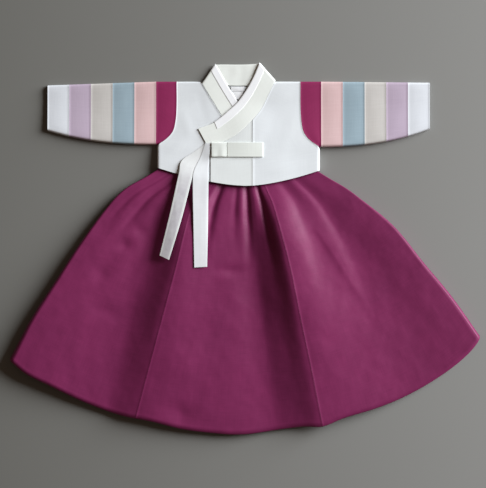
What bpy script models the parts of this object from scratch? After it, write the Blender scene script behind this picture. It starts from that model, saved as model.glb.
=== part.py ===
"""A girl's first-birthday hanbok laid out flat: a striped-sleeve jacket (jeogori) over a gathered skirt (chima).

Sizes are in millimetres and become metres where a mesh is made. Left and right are the wearer's.
X runs to the wearer's left, Y up towards the collar, Z out of the face of the cloth. The origin is
under the middle of the outline, on the surface that the clothes lie on.
"""

from collections import namedtuple
import math

import bmesh
import bpy
from mathutils import Vector

MM = 0.001

# Cloth
WALL = 1.2  # a panel with its backing
BAND_WALL = 1.4  # the doubled cloth of the collar
TRIM_WALL = 1.0  # ribbon, collar strip and label
SEAM_GAP = 0.4  # between two pieces at a seam
LAYER_GAP = 0.4  # between a piece and what it lies on

# Jacket, flat
CENTRE_X = -12.0
SHOULDER_Y = 306.0
HALF_CHEST = 150.0
HALF_SHOULDER = 114.0
STRIPE = 40.0
STRIPE_SEAM = 152.0  # from the centre to the first stripe's seam
HEM_LOW_X = 2.0
HEM_LOW_Y = 113.0
HEM_POWER = 1.62
UNDERSIDE_POWER = 2.4
SEOP_EDGE_X = -64.0
SEOP_SEAM_X = 14.4
BODY_SEAM_SHARE = 0.25  # of the body's edge from hem to shoulder, below the armhole
FRONT_HEM_SHARE = 0.3  # of a front's height, over which its rows take up the hem's curve
BACK_HEM_RISE = 6.0
INNER_HEM_RISE = 3.0
INNER_RISE_RUN = 20.0
NECK_SCOOP = 7.0
NECK_SCOOP_HALF = 81.0  # half width at which the scoop begins
NECK_SCOOP_RUN = 60.0
UNDER_EDGE_FOOT_X = 22.0
UNDER_EDGE = ((12.0, 153.0), (-15.4, 197.0), (-42.7, 241.0), (-61.5, 271.6), (-81.4, 304.0))
SHOULDER_NECK_X = 56.5  # where the left front's edge meets the shoulder
SEOP_TIP = 0.985  # how far along the outer collar's seam the overlap ends
SEOP_LEAN = 1.2

# Heights of the jacket's upper face
TURN_RISE = 0.9  # from the layer below to a front's outer face, where it turns down to it
EDGE_Z = WALL + TURN_RISE
CHEST_Z = 6.0
HEM_Z = 17.6  # over the skirt's gathers
SLEEVE_DROP = 0.8
EDGE_RADIUS = 4.5
SWELL_TOP_Y = 268.0
SWELL_POWER = 1.4
OUTER_LIFT = 3.2  # of the outer front over the inner one and its collar
LIFT_FROM_X = 20.0
LIFT_TO_X = 120.0
SLEEVE_DROP_FROM = 100.0  # from the centre line
COLLAR_RISE = 0.2
BACK_BAND_Z = 3.1
FOLD_RADIUS = 3.0

Side = namedtuple("Side", "name sign underarm_y hem_y cuff_top_y cuff_low_y")
SIDES = (
    Side("right", -1, 189.0, 147.0, 299.0, 215.0),
    Side("left", 1, 185.0, 142.0, 304.0, 218.0),
)

# The armhole below a straight run, as distances from the centre line and above the underarm.
ARMHOLE_RUN_Y = 260.0
ARMHOLE_CURVE = ((116.0, 44.0), (121.0, 25.0), (133.0, 11.0), (149.4, 0.0))

# The collar band's two edges, from its fold beside the back of the neck to its end.
OUTER_NECK = ((27.4, 340.5), (17.0, 315.6), (4.0, 291.6), (-12.3, 268.6), (-31.1, 250.6), (-57.0, 230.2), (-86.5, 218.8))
OUTER_SEAM = ((56.3, 308.2), (42.9, 280.6), (28.7, 253.0), (9.8, 230.9), (-15.1, 208.1), (-41.8, 193.2), (-67.3, 183.1))
INNER_NECK = ((-55.2, 338.4), (-34.4, 301.4), (-14.7, 269.6), (5.2, 236.4), (12.5, 223.6))
INNER_SEAM = ((-79.5, 302.3), (-61.1, 271.8), (-42.3, 241.2), (-22.4, 208.8), (-15.0, 197.0))
SEOP_TOP = 0.47  # how far along the outer seam the overlap's own seam meets it
STRIP_SHARE = 0.33  # of the collar's width
STRIP_START = 0.03  # of a collar's length
STRIP_END = 0.83
INNER_STRIP_END = 0.72
BACK_SEAM = ((-77.5, 302.0), (54.3, 306.5))  # the ends of the back stretch, and its dip between them
BACK_NECK = ((-54.5, 337.0), (26.8, 339.2))
BACK_SEAM_MIDDLE_Y = 298.0
BACK_NECK_MIDDLE_Y = 337.0
BACK_STRIP_INSET = 0.01

# Ties
KNOT_LEFT_X = -61.6
KNOT_RIGHT_X = -34.0
BOW_RIGHT_X = 33.0
BOW_TOP_Y = 193.0
BOW_LOW_Y = 166.5
KNOT_HEIGHT = 5.0
LOOP_RADIUS = 1.3
LOOP_BEND = 0.1  # of the loop's length
KNOT_ROUNDING = 1.5
REST_RADIUS = 70.0  # how tightly a ribbon bends over what it rests on
REST_STEP = 5.0
REST_STEPS = 5
REST_ACROSS = 7.0
ON_OUTER_X = -67.0  # the tails lie on the outer front from here
ON_COLLAR = (-92.0, 178.0)  # and on the collar's end from this corner up
OVER_TAIL_FROM_Y = 80.0  # where the upper tail begins to rise over the lower one
OVER_TAIL_RUN = 40.0
OVER_TAIL_RISE = 2.1
UNDER_TAIL_LEFT = ((-74.9, 190.4), (-93.3, 176.6), (-116.7, 159.5), (-122.2, 133.4), (-137.4, 63.5), (-156.6, -14.9))
UNDER_TAIL_RIGHT = ((-71.2, 184.9), (-81.3, 161.0), (-89.6, 148.1), (-96.4, 129.7), (-115.4, 54.3), (-139.1, -23.0))
OVER_TAIL_LEFT = ((-73.4, 192.3), (-82.2, 166.5), (-93.3, 142.6), (-96.0, 120.5), (-94.6, 41.4), (-93.1, -36.8))
OVER_TAIL_RIGHT = ((-63.0, 191.4), (-66.0, 166.5), (-67.4, 142.6), (-67.2, 120.5), (-67.9, 41.4), (-69.4, -35.5))

# Skirt: a row for each section from the waist, v = 0, to the hem, v = 1. A section runs from its left
# point to its right one and sags between them. Height is the front's mean upper face, folds is the
# share of the folds' full height, and side is the radius of the turn at its two ends.
Section = namedtuple("Section", "v left_x left_y right_x right_y sag height folds side")
SECTIONS = (
    Section(0.00, -146, 168, 122, 166, 10, 6.8, 0.20, 5),
    Section(0.06, -155, 149, 127, 147, 20, 9.4, 0.35, 6),
    Section(0.10, -182, 131, 150, 131, 24, 11.6, 0.60, 7),
    Section(0.15, -219, 110, 184, 111, 27, 15.4, 0.85, 8),
    Section(0.20, -245, 86, 209, 93, 32, 17.5, 1.00, 9),
    Section(0.40, -300, 14, 274, 40, 69, 20.3, 1.00, 13),
    Section(0.60, -350, -62, 329, -27, 97, 19.5, 1.00, 16),
    Section(0.80, -394, -130, 382, -91, 130, 18.0, 0.90, 18),
    Section(1.00, -433, -201, 433, -163, 158, 15.5, 0.75, 20),
)
LEFT_TURN = 0.7  # share of a section's side radius, at its left edge
RIGHT_TURN = 0.35
LEFT_BOW = 0.9  # below 1 makes a section's curve fuller on that half
RIGHT_BOW = 0.7
SKIRT_SEAMS = ((0.325, 0.268), (0.665, 0.665))  # share across, at the waist and at the hem

# The front's folds: ridges, and valleys with a height below zero. Each runs from share across u_from
# at v_from to u_to at v_to, and falls away to its left and right over those shares. Grow is the share
# of its run over which it swells to its height.
Fold = namedtuple("Fold", "u_from u_to v_from v_to height left right grow")
FOLDS = (
    Fold(0.080, 0.060, 0.00, 0.55, 2.4, 0.025, 0.030, 0.0),
    Fold(0.000, 0.010, 0.10, 1.70, 6.5, 0.100, 0.160, 0.25),
    Fold(0.165, 0.125, 0.00, 0.65, 2.6, 0.030, 0.030, 0.0),
    Fold(0.235, 0.205, 0.00, 0.50, 2.6, 0.022, 0.030, 0.0),
    Fold(0.202, 0.206, 0.08, 1.70, -5.8, 0.080, 0.040, 0.2),
    Fold(0.320, 0.262, 0.00, 1.60, 12.5, 0.044, 0.100, 0.2),
    Fold(0.385, 0.365, 0.00, 0.30, 2.0, 0.018, 0.020, 0.0),
    Fold(0.422, 0.384, 0.00, 0.42, -4.4, 0.012, 0.018, 0.0),
    Fold(0.462, 0.438, 0.00, 0.50, 2.0, 0.020, 0.040, 0.0),
    Fold(0.508, 0.486, 0.00, 0.42, -3.0, 0.012, 0.016, 0.0),
    Fold(0.563, 0.541, 0.00, 0.42, -4.8, 0.010, 0.013, 0.0),
    Fold(0.596, 0.578, 0.00, 0.40, 1.8, 0.012, 0.018, 0.0),
    Fold(0.622, 0.612, 0.00, 0.42, -3.6, 0.010, 0.011, 0.0),
    Fold(0.550, 0.572, 0.14, 1.50, -6.4, 0.075, 0.040, 0.2),
    Fold(0.660, 0.666, 0.00, 1.60, 15.5, 0.042, 0.125, 0.2),
    Fold(0.800, 0.790, 0.00, 0.50, 3.0, 0.011, 0.060, 0.0),
    Fold(0.785, 0.880, 0.22, 0.90, 3.0, 0.014, 0.060, 0.3),
    Fold(0.885, 0.895, 0.10, 1.70, -4.2, 0.100, 0.050, 0.25),
)
LEAST_CLEAR = 2.5  # between the skirt's front and back
BACK_GATHERS = 12
BACK_GATHER_Z = 2.0
BACK_GATHER_END = 0.35
BACK_INSET = 0.004  # share across that the back stays in from the outline
BACK_LIFT_FROM = 0.10
BACK_LIFT_TO = 0.19
WAISTBAND = 36.0
WAISTBAND_LOW_Z = 6.8
WAISTBAND_TOP_Z = 4.3

# Labels, as left, right, low and top edges
NECK_LABEL = (-26.0, -1.0, 287.5, 296.4)
SIZE_TAG = (-24.0, -3.5, 273.0, 287.1)

STRIPES = (
    ("magenta", "#86305a"),
    ("pink", "#d8bab4"),
    ("blue", "#9bb0b8"),
    ("beige", "#c6c2bb"),
    ("lavender", "#b9abbd"),
    ("white", "#dfe4ea"),
)
BODY_WHITE = "#e2e8eb"
COLLAR_IVORY = "#e4e8e0"
STRIP_WHITE = "#f4f7fa"
TIE_IVORY = "#dfe3dd"
SKIRT_MAGENTA = "#7d315c"


def clamp(value):
    return min(1.0, max(0.0, value))


def smooth(value):
    t = clamp(value)
    return t * t * (3 - 2 * t)


def mix(a, b, t):
    return a + (b - a) * t


def turn(value):
    """A quarter circle: 0 at an edge, 1 from one radius in."""
    return math.sqrt(1 - (1 - clamp(value)) ** 2)


def hermite(a, b, slope_a, slope_b, t):
    return (
        a * (2 * t**3 - 3 * t**2 + 1)
        + slope_a * (t**3 - 2 * t**2 + t)
        + b * (3 * t**2 - 2 * t**3)
        + slope_b * (t**3 - t**2)
    )


def through(points, t):
    """The point at share t of a smooth curve through evenly counted points."""
    spots = [Vector(p) for p in points]
    place = clamp(t) * (len(spots) - 1)
    i = min(int(place), len(spots) - 2)
    before = spots[max(i - 1, 0)]
    after = spots[min(i + 2, len(spots) - 1)]
    slope_a = (spots[i + 1] - before) / (2 if i else 1)
    slope_b = (after - spots[i]) / (2 if i + 2 < len(spots) else 1)
    return hermite(spots[i], spots[i + 1], slope_a, slope_b, place - i)


def section(v):
    """The skirt's section at v, read from SECTIONS along smooth curves."""
    i = min(sum(v > row.v for row in SECTIONS[1:]), len(SECTIONS) - 2)
    a, b = SECTIONS[i], SECTIONS[i + 1]
    before, after = SECTIONS[max(i - 1, 0)], SECTIONS[min(i + 2, len(SECTIONS) - 1)]
    span = b.v - a.v
    values = [
        hermite(y, z, (z - w) / (b.v - before.v) * span, (x - y) / (after.v - a.v) * span, (v - a.v) / span)
        for w, y, z, x in zip(before, a, b, after)
    ]
    return Section(*values)._replace(v=v)


# The jacket's outline and heights


def side_of(x):
    return SIDES[1] if x > CENTRE_X else SIDES[0]


def top_edge_y(side, out):
    """The upper edge of shoulder and sleeve, at a distance out from the centre line."""
    return mix(SHOULDER_Y, side.cuff_top_y, clamp((out - STRIPE_SEAM) / (5 * STRIPE)))


def low_edge_y(side, out):
    """The curved underside of the sleeve."""
    along = clamp((out - HALF_CHEST) / (5 * STRIPE + STRIPE_SEAM - HALF_CHEST))
    return mix(side.underarm_y, side.cuff_low_y, along**UNDERSIDE_POWER)


def hem_y(x):
    side = side_of(x)
    reach = abs(CENTRE_X + side.sign * HALF_CHEST - HEM_LOW_X)
    return mix(HEM_LOW_Y, side.hem_y, (abs(x - HEM_LOW_X) / reach) ** HEM_POWER)


def swell_z(x, y):
    """The height that the front would have with no turned edges."""
    body = mix(CHEST_Z, HEM_Z, clamp((SWELL_TOP_Y - y) / (SWELL_TOP_Y - HEM_LOW_Y)) ** SWELL_POWER)
    out = abs(x - CENTRE_X)
    return body - SLEEVE_DROP * smooth((out - SLEEVE_DROP_FROM) / (HALF_CHEST - SLEEVE_DROP_FROM))


def jacket_z(x, y):
    """The upper face of the inner front and of the sleeves."""
    side, out = side_of(x), abs(x - CENTRE_X)
    inside = min(top_edge_y(side, out) - y, max(HALF_CHEST - out, y - low_edge_y(side, out)))
    return mix(EDGE_Z, swell_z(x, y), turn(inside / EDGE_RADIUS))


def outer_lift(x):
    """How far the outer front lies above the inner one."""
    return OUTER_LIFT * smooth((LIFT_TO_X - x) / (LIFT_TO_X - LIFT_FROM_X))


def outer_z(x, y):
    return jacket_z(x, y) + outer_lift(x)


def body_edge(side, t, out_by=0.0):
    """The body's side seam, then its armhole, from the hem at t = 0 to the shoulder at t = 1."""
    if t < BODY_SEAM_SHARE:
        y = mix(side.hem_y, side.underarm_y, t / BODY_SEAM_SHARE)
        return Vector((CENTRE_X + side.sign * HALF_CHEST, y))
    run = (HALF_SHOULDER, SHOULDER_Y), (HALF_SHOULDER, ARMHOLE_RUN_Y)
    curve = run + tuple((out, side.underarm_y + up) for out, up in ARMHOLE_CURVE)
    out, y = through(curve, 1 - (t - BODY_SEAM_SHARE) / (1 - BODY_SEAM_SHARE))
    return Vector((CENTRE_X + side.sign * (out + out_by), y + (out_by if t < 0.999 else 0)))


# Meshes


def linear(channel):
    return channel / 12.92 if channel <= 0.04045 else ((channel + 0.055) / 1.055) ** 2.4


def fabric(name, colour, roughness=0.75):
    """A Principled material from an sRGB hex colour."""
    material = bpy.data.materials.get(name) or bpy.data.materials.new(name)
    material.use_nodes = True
    rgb = [linear(int(colour[i : i + 2], 16) / 255) for i in (1, 3, 5)]
    shader = material.node_tree.nodes["Principled BSDF"]
    shader.inputs["Base Color"].default_value = (*rgb, 1)
    shader.inputs["Roughness"].default_value = roughness
    material.diffuse_color = (*rgb, 1)
    return material


def even(count):
    return [i / count for i in range(count + 1)]


TURN_STEPS = (0.0, 0.08, 0.35, 1.0)


def turned(count, share, both=True):
    """Even steps, with closer ones over the first share of the way, and over the last."""
    close = [share * step for step in TURN_STEPS]
    end = 1 - share if both else 1.0
    steps = close + [mix(share, end, i / count) for i in range(1, count)]
    return steps + ([1 - step for step in reversed(close)] if both else [1.0])


def cloth(name, material, surface, columns, rows, wall=WALL, offset=-1):
    """A wall of cloth whose upper face is surface(s, t), for s in columns and t in rows."""
    shape = bmesh.new()
    wide, high = len(columns) - 1, len(rows) - 1
    bmesh.ops.create_grid(shape, x_segments=wide, y_segments=high, size=0.5)
    for vertex in shape.verts:
        i, j = round((vertex.co.x + 0.5) * wide), round((vertex.co.y + 0.5) * high)
        vertex.co = Vector(surface(columns[i], rows[j])) * MM
    shape.normal_update()
    if sum(face.normal.z * face.calc_area() for face in shape.faces) < 0:
        bmesh.ops.reverse_faces(shape, faces=shape.faces)
    mesh = bpy.data.meshes.new(name)
    shape.to_mesh(mesh)
    shape.free()
    mesh.materials.append(material)
    mesh.shade_smooth()
    piece = bpy.data.objects.new(name, mesh)
    bpy.data.collections["hanbok"].objects.link(piece)
    solid = piece.modifiers.new("wall", "SOLIDIFY")
    solid.thickness = wall * MM
    solid.offset = offset
    solid.use_even_offset = True
    return piece


def between(a, b, z_of):
    """A surface ruled from curve a(t), at s = 0, to curve b(t), at s = 1, with heights z_of(x, y)."""

    def surface(s, t):
        x, y = mix(a(t), b(t), s)
        return x, y, z_of(x, y)

    return surface


# The jacket's pieces


def make_sleeve(side):
    """Six strips of cloth from armhole to cuff, each as a front layer and a flat back one."""

    def seam(k):
        """The seam k stripes out, as a curve from the underside to the top edge."""
        out = STRIPE_SEAM + k * STRIPE
        low = low_edge_y(side, out)
        high = top_edge_y(side, out)
        return lambda t: Vector((out, mix(low, high, t)))

    def armhole(t):
        out, y = body_edge(side, mix(BODY_SEAM_SHARE, 1, t), SEAM_GAP / 2)
        return Vector((abs(out - CENTRE_X), y))

    for k, (stripe, colour) in enumerate(STRIPES):
        inner = armhole if k == 0 else seam(k - 1)
        outer = seam(k)

        def flat(s, t, inner=inner, outer=outer, k=k):
            """The strip's outline: its low and top edges follow the sleeve's curves."""
            a, b = inner(t), outer(t)
            out = mix(a.x, b.x, s)
            y = mix(a.y, b.y, s)
            if k:
                y = mix(low_edge_y(side, out), top_edge_y(side, out), t)
            gap = SEAM_GAP * (0.5 - s)
            return CENTRE_X + side.sign * (out + gap), y

        def front(s, t, flat=flat):
            x, y = flat(s, t)
            return x, y, jacket_z(x, y)

        def back(s, t, flat=flat):
            return *flat(s, t), WALL

        name = f"sleeve_{side.name}_{stripe}"
        material = fabric(f"{stripe}_silk", colour)
        cloth(f"{name}_front", material, front, even(3 if k == 0 else 1), turned(4, 0.06))
        cloth(f"{name}_back", material, back, even(3 if k == 0 else 1), even(6 if k == 0 else 1))


def make_back():
    """The back panel, face down on the surface, with a scooped neck."""
    right, left = SIDES

    def surface(s, t):
        x, y = mix(body_edge(right, t, -SEAM_GAP / 2), body_edge(left, t, -SEAM_GAP / 2), s)
        hem = hem_y(x) + BACK_HEM_RISE
        y = mix(hem, y, smooth(t / BODY_SEAM_SHARE))
        scoop = smooth((NECK_SCOOP_HALF - abs(x - CENTRE_X)) / NECK_SCOOP_RUN)
        return x, y - NECK_SCOOP * scoop * smooth(2 * t - 1), WALL

    cloth("jacket_back", fabric("white_silk", BODY_WHITE), surface, even(12), even(8))


def make_inner_front():
    """The wearer's right front, which passes under the left one."""
    side = SIDES[0]

    def under_edge(t):
        """From the hidden corner of the hem up to the collar's seam and along it."""
        if t < FRONT_HEM_SHARE:
            foot = Vector((UNDER_EDGE_FOOT_X, hem_y(UNDER_EDGE_FOOT_X)))
            return mix(foot, Vector(UNDER_EDGE[0]), t / FRONT_HEM_SHARE)
        return through(UNDER_EDGE, (t - FRONT_HEM_SHARE) / (1 - FRONT_HEM_SHARE))

    def surface(s, t):
        x, y = mix(body_edge(side, t, -SEAM_GAP / 2), under_edge(t), s)
        rise = INNER_HEM_RISE * smooth((x - SEOP_EDGE_X) / INNER_RISE_RUN)
        y = mix(hem_y(x) + rise, y, smooth(t / FRONT_HEM_SHARE))
        return x, y, jacket_z(x, y)

    material = fabric("white_silk", BODY_WHITE)
    cloth("jacket_front_right", material, surface, turned(12, 0.05, both=False), front_rows())


def front_rows():
    """Even steps up a front, with closer ones where it turns over the shoulder."""
    return even(12)[:-1] + [0.96, 0.985, 0.997, 1.0]


def make_outer_front():
    """The wearer's left front, and the overlap panel (seop) sewn to its edge."""
    side = SIDES[1]
    material = fabric("white_silk", BODY_WHITE)

    def inner_edge(t):
        """Up the overlap's seam over the first half, then along the collar's to the shoulder."""
        corner = through(OUTER_SEAM, SEOP_TOP)
        if t < 0.5:
            foot = Vector((SEOP_SEAM_X, hem_y(SEOP_SEAM_X)))
            return mix(foot, Vector((SEOP_SEAM_X, corner.y)), 2 * t) + Vector((SEAM_GAP, 0))
        point = through(OUTER_SEAM, SEOP_TOP * 2 * (1 - t))
        point = mix(point, Vector((SHOULDER_NECK_X, SHOULDER_Y)), smooth((t - 0.9) / 0.1))
        return point + Vector((SEAM_GAP, -SEAM_GAP))

    def surface(s, t):
        x, y = mix(inner_edge(t), body_edge(side, t, -SEAM_GAP / 2), s)
        y = mix(hem_y(x), y, smooth(t / FRONT_HEM_SHARE))
        return x, y, outer_z(x, y)

    steps = [1 - step for step in reversed(turned(10, 0.06, both=False))]
    cloth("jacket_front_left", material, surface, steps, front_rows())

    def overlap(s, t):
        x = mix(SEOP_EDGE_X, SEOP_SEAM_X, s)
        top = through(OUTER_SEAM, mix(SEOP_TIP, SEOP_TOP, s))
        y = mix(hem_y(x), top.y - SEAM_GAP, t)
        x = mix(x, top.x, smooth(t / SEOP_LEAN) if s else 0)
        return x, y, outer_z(x, y)

    cloth("jacket_overlap", material, overlap, even(8), even(8))


def collar_band(neck, seam, lift):
    """The upper face of a folded collar band: t along it from its fold, s across it from the neck."""

    def surface(s, t):
        x, y = mix(through(neck, t), through(seam, t), s)
        high = swell_z(x, y) + COLLAR_RISE + lift(x)
        from_fold = t * (through(neck, 0) - through(neck, 1)).length
        return x, y, mix(BACK_BAND_Z + LAYER_GAP, high, turn(from_fold / FOLD_RADIUS))

    return surface


def raised(surface, by, s_range, t_range):
    """The part of a surface within those shares, moved out by that much."""

    def strip(s, t):
        x, y, z = surface(mix(*s_range, s), mix(*t_range, t))
        return x, y, z + by

    return strip


def make_collar():
    """The collar band (git) in three stretches, and the white strip (dongjeong) on its neck edge."""
    ivory = fabric("ivory_silk", COLLAR_IVORY)
    white = fabric("starched_white", STRIP_WHITE)
    on_band = LAYER_GAP + TRIM_WALL
    along = [0, 0.002, 0.006, 0.012, 0.02] + [mix(0.02, 1, i / 14) for i in range(1, 15)]
    outer = collar_band(OUTER_NECK, OUTER_SEAM, outer_lift)
    inner = collar_band(INNER_NECK, INNER_SEAM, lambda x: 0.0)
    across = (0.0, STRIP_SHARE)
    cloth("collar_outer", ivory, outer, even(4), along, wall=BAND_WALL)
    cloth("collar_inner", ivory, inner, even(4), along, wall=BAND_WALL)
    strip = raised(outer, on_band, across, (STRIP_START, STRIP_END))
    cloth("collar_strip_outer", white, strip, even(2), even(14), wall=TRIM_WALL)
    strip = raised(inner, on_band, across, (STRIP_START, INNER_STRIP_END))
    cloth("collar_strip_inner", white, strip, even(2), even(8), wall=TRIM_WALL)

    def back_band(s, t):
        low = mix(*(Vector(end) for end in BACK_SEAM), s)
        high = mix(*(Vector(end) for end in BACK_NECK), s)
        dip = 4 * s * (1 - s)
        low.y = mix(low.y, BACK_SEAM_MIDDLE_Y, dip)
        high.y = mix(high.y, BACK_NECK_MIDDLE_Y, dip)
        return *mix(low, high, t), BACK_BAND_Z

    cloth("collar_back", ivory, back_band, even(8), even(2), wall=BAND_WALL)

    def back_strip(s, t):
        inset = BACK_STRIP_INSET
        x, y, _ = back_band(mix(inset, 1 - inset, s), mix(1 - STRIP_SHARE, 1 - inset, t))
        return x, y, TRIM_WALL

    cloth("collar_strip_back", white, back_strip, even(8), even(1), wall=TRIM_WALL)


def make_labels():
    """Two blank labels on the back panel, at the neck."""
    white = fabric("label_satin", STRIP_WHITE)
    for name, (left, right, low, top) in (("neck_label", NECK_LABEL), ("size_tag", SIZE_TAG)):

        def surface(s, t, left=left, right=right, low=low, top=top):
            return mix(left, right, s), mix(low, top, t), WALL + LAYER_GAP + TRIM_WALL

        cloth(name, white, surface, even(1), even(1), wall=TRIM_WALL)


# The skirt


def skirt_point(u, v):
    """The plan position at share u across the section at v."""
    row = section(v)
    bow = (4 * u * (1 - u)) ** mix(LEFT_BOW, RIGHT_BOW, smooth((u - 0.35) / 0.3))
    return Vector((mix(row.left_x, row.right_x, u), mix(row.left_y, row.right_y, u) - row.sag * bow))


def back_skirt_z(u, v):
    """The upper face of the skirt's back: flat on the surface, over the jacket's back near the waist."""
    over_jacket = (WALL + LAYER_GAP) * (1 - smooth((v - BACK_LIFT_FROM) / (BACK_LIFT_TO - BACK_LIFT_FROM)))
    gather = BACK_GATHER_Z * math.sin(math.pi * BACK_GATHERS * u) ** 2
    return WALL + over_jacket + gather * smooth(v / 0.06) * (1 - smooth(v / BACK_GATHER_END))


def fold_z(u, v):
    """The sum of the front's folds."""
    total = 0.0
    for fold in FOLDS:
        along = (v - fold.v_from) / (fold.v_to - fold.v_from)
        if not 0 <= along <= 1:
            continue
        off = u - mix(fold.u_from, fold.u_to, along)
        spread = fold.left if off < 0 else fold.right
        ends = (1 - along**2) ** 1.5 * (smooth(along / fold.grow) if fold.grow else 1)
        total += fold.height * ends * math.exp(-((off / spread) ** 2))
    return total


def front_skirt_z(u, v):
    """The upper face of the skirt's front."""
    row = section(v)
    wide = row.right_x - row.left_x
    edge = back_skirt_z(0, v) + TURN_RISE
    from_side = min(u, 1 - u) * wide
    full = max(row.height + row.folds * fold_z(u, v), back_skirt_z(u, v) + WALL + LEAST_CLEAR)
    return mix(edge, full, turn(from_side / row.side / (LEFT_TURN if u < 0.5 else RIGHT_TURN)))


def seam_steps(count, left_seam, right_seam):
    """Steps across a panel: closer where its outer edge turns, and one close to each seam."""
    near = 0.008
    left = [0, near] if left_seam else [0.07 * step for step in TURN_STEPS]
    right = [0, near] if right_seam else [0.07 * step for step in TURN_STEPS]
    start, end = left[-1], 1 - right[-1]
    inner = [mix(start, end, i / count) for i in range(1, count)]
    return left + inner + [1 - step for step in reversed(right)]


def make_skirt():
    """Six panels, three in front and three behind, gathered to a waistband."""
    magenta = fabric("magenta_silk", SKIRT_MAGENTA, roughness=0.55)
    rows = [1 - v for v in reversed((0, 0.035, 0.07, 0.1, 0.135, 0.17, 0.22, 0.29, 0.38, 0.5, 0.64, 0.78, 0.9, 1))]
    back_rows = [1 - v for v in reversed((0, 0.05, 0.1, 0.145, 0.19, 0.27, 0.35, 0.6, 0.8, 1))]

    def panel(left_seam, right_seam, z_of, inset):
        """A panel between two seams, or an outer edge where there is none; t runs from the hem up."""

        def surface(s, t):
            v = 1 - t
            row = section(v)
            gap = SEAM_GAP / 2 / (row.right_x - row.left_x)
            left = mix(*left_seam, v) + gap if left_seam else inset
            right = mix(*right_seam, v) - gap if right_seam else 1 - inset
            u = mix(left, right, s)
            return *skirt_point(u, v), z_of(u, v)

        return surface

    first, second = SKIRT_SEAMS
    for name, left, right, columns in (
        ("right", None, first, 16),
        ("centre", first, second, 28),
        ("left", second, None, 16),
    ):
        front = panel(left, right, front_skirt_z, 0)
        cloth(f"skirt_front_{name}", magenta, front, seam_steps(columns, left, right), rows)
        back = panel(left, right, back_skirt_z, BACK_INSET)
        cloth(f"skirt_back_{name}", magenta, back, even(16), back_rows)

    def band(z_low, z_top, turn_share):
        """A band above the gathers, between those heights; its ends turn down to the layer below."""
        under = 2 * WALL + LAYER_GAP + TURN_RISE

        def surface(s, t):
            x, y = skirt_point(mix(0.01, 0.99, s), 0)
            high = mix(z_low, z_top, t)
            z = mix(under, high, turn(min(s, 1 - s) / turn_share)) if turn_share else high
            return x, y + SEAM_GAP + t * WAISTBAND, z

        return surface

    white = fabric("waistband_cotton", BODY_WHITE)
    flat = 2 * WALL + LAYER_GAP
    cloth("waistband_back", white, band(flat, flat, 0), even(8), even(1))
    cloth("waistband_front", white, band(WAISTBAND_LOW_Z, WAISTBAND_TOP_Z, 0.012), turned(8, 0.012), even(2))


# The ties


def skirt_height_at(x, y):
    """The skirt's upper face over a point in plan, found by halving v."""
    low, high = 0.0, 1.0
    for _ in range(24):
        v = (low + high) / 2
        row = section(v)
        u = clamp((x - row.left_x) / (row.right_x - row.left_x))
        if skirt_point(u, v).y > y:
            low = v
        else:
            high = v
    return front_skirt_z(u, v)


def support_z(x, y):
    """The highest cloth under the ties at a point in plan."""
    if y > hem_y(x) - 2:
        on_outer = x > ON_OUTER_X or (x > ON_COLLAR[0] and y > ON_COLLAR[1])
        return jacket_z(x, y) + (OUTER_LIFT + COLLAR_RISE if on_outer else 0)
    return skirt_height_at(x, y)


def resting_z(x, y):
    """The height at which a ribbon that bends gently lies over what is under it."""
    return max(
        support_z(x + i * REST_ACROSS, y + j * REST_STEP) - (j * REST_STEP) ** 2 / (2 * REST_RADIUS)
        for j in range(-REST_STEPS, REST_STEPS + 1)
        for i in (-1, 0, 1)
    )


def make_ties():
    """A half bow: its loop, its knot and two tails."""
    ivory = fabric("tie_silk", TIE_IVORY)
    under = LAYER_GAP + COLLAR_RISE

    def knot(s, t):
        x, y = mix(KNOT_LEFT_X, KNOT_RIGHT_X, s), mix(BOW_LOW_Y, BOW_TOP_Y, t)
        return x, y, outer_z(x, y) + under + KNOT_HEIGHT

    piece = cloth("tie_knot", ivory, knot, even(2), even(4), wall=KNOT_HEIGHT)
    rounding = piece.modifiers.new("soft edges", "BEVEL")
    rounding.width = KNOT_ROUNDING * MM
    rounding.segments = 2
    rounding.limit_method = "ANGLE"

    def loop(s, t):
        """A hairpin: out along the lower layer, round the end and back along the upper one."""
        start, end = KNOT_RIGHT_X + SEAM_GAP, BOW_RIGHT_X - LOOP_RADIUS
        angle = clamp((s - 0.5) / LOOP_BEND + 0.5) * math.pi
        run = clamp(min(s, 1 - s) / (0.5 - LOOP_BEND / 2))
        x = mix(start, end, run) + LOOP_RADIUS * math.sin(angle)
        y = mix(BOW_LOW_Y, BOW_TOP_Y, t)
        up = LOOP_RADIUS * (1 - math.cos(angle))
        return x, y, outer_z(x, y) + under + TRIM_WALL / 2 + up

    start = 0.5 - LOOP_BEND / 2
    flat = [start * i / 8 for i in range(8)]
    bends = [start + LOOP_BEND * i / 6 for i in range(7)]
    steps = flat + bends + [1 - step for step in reversed(flat)]
    cloth("tie_loop", ivory, loop, steps, even(2), wall=TRIM_WALL, offset=0)

    def tail(left, right, rise):
        def surface(s, t):
            x, y = mix(through(left, 1 - t), through(right, 1 - t), s)
            raise_by = rise * smooth((y - OVER_TAIL_FROM_Y) / OVER_TAIL_RUN)
            return x, y, resting_z(x, y) + LAYER_GAP + TRIM_WALL + raise_by

        return surface

    under_tail = tail(UNDER_TAIL_LEFT, UNDER_TAIL_RIGHT, 0)
    cloth("tie_tail_under", ivory, under_tail, even(3), even(20), wall=TRIM_WALL)
    over_tail = tail(OVER_TAIL_LEFT, OVER_TAIL_RIGHT, OVER_TAIL_RISE)
    cloth("tie_tail_over", ivory, over_tail, even(3), even(20), wall=TRIM_WALL)


def main():
    for item in list(bpy.data.objects):
        bpy.data.objects.remove(item)
    bpy.context.scene.collection.children.link(bpy.data.collections.new("hanbok"))
    make_back()
    for side in SIDES:
        make_sleeve(side)
    make_inner_front()
    make_outer_front()
    make_collar()
    make_labels()
    make_skirt()
    make_ties()


main()
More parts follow.
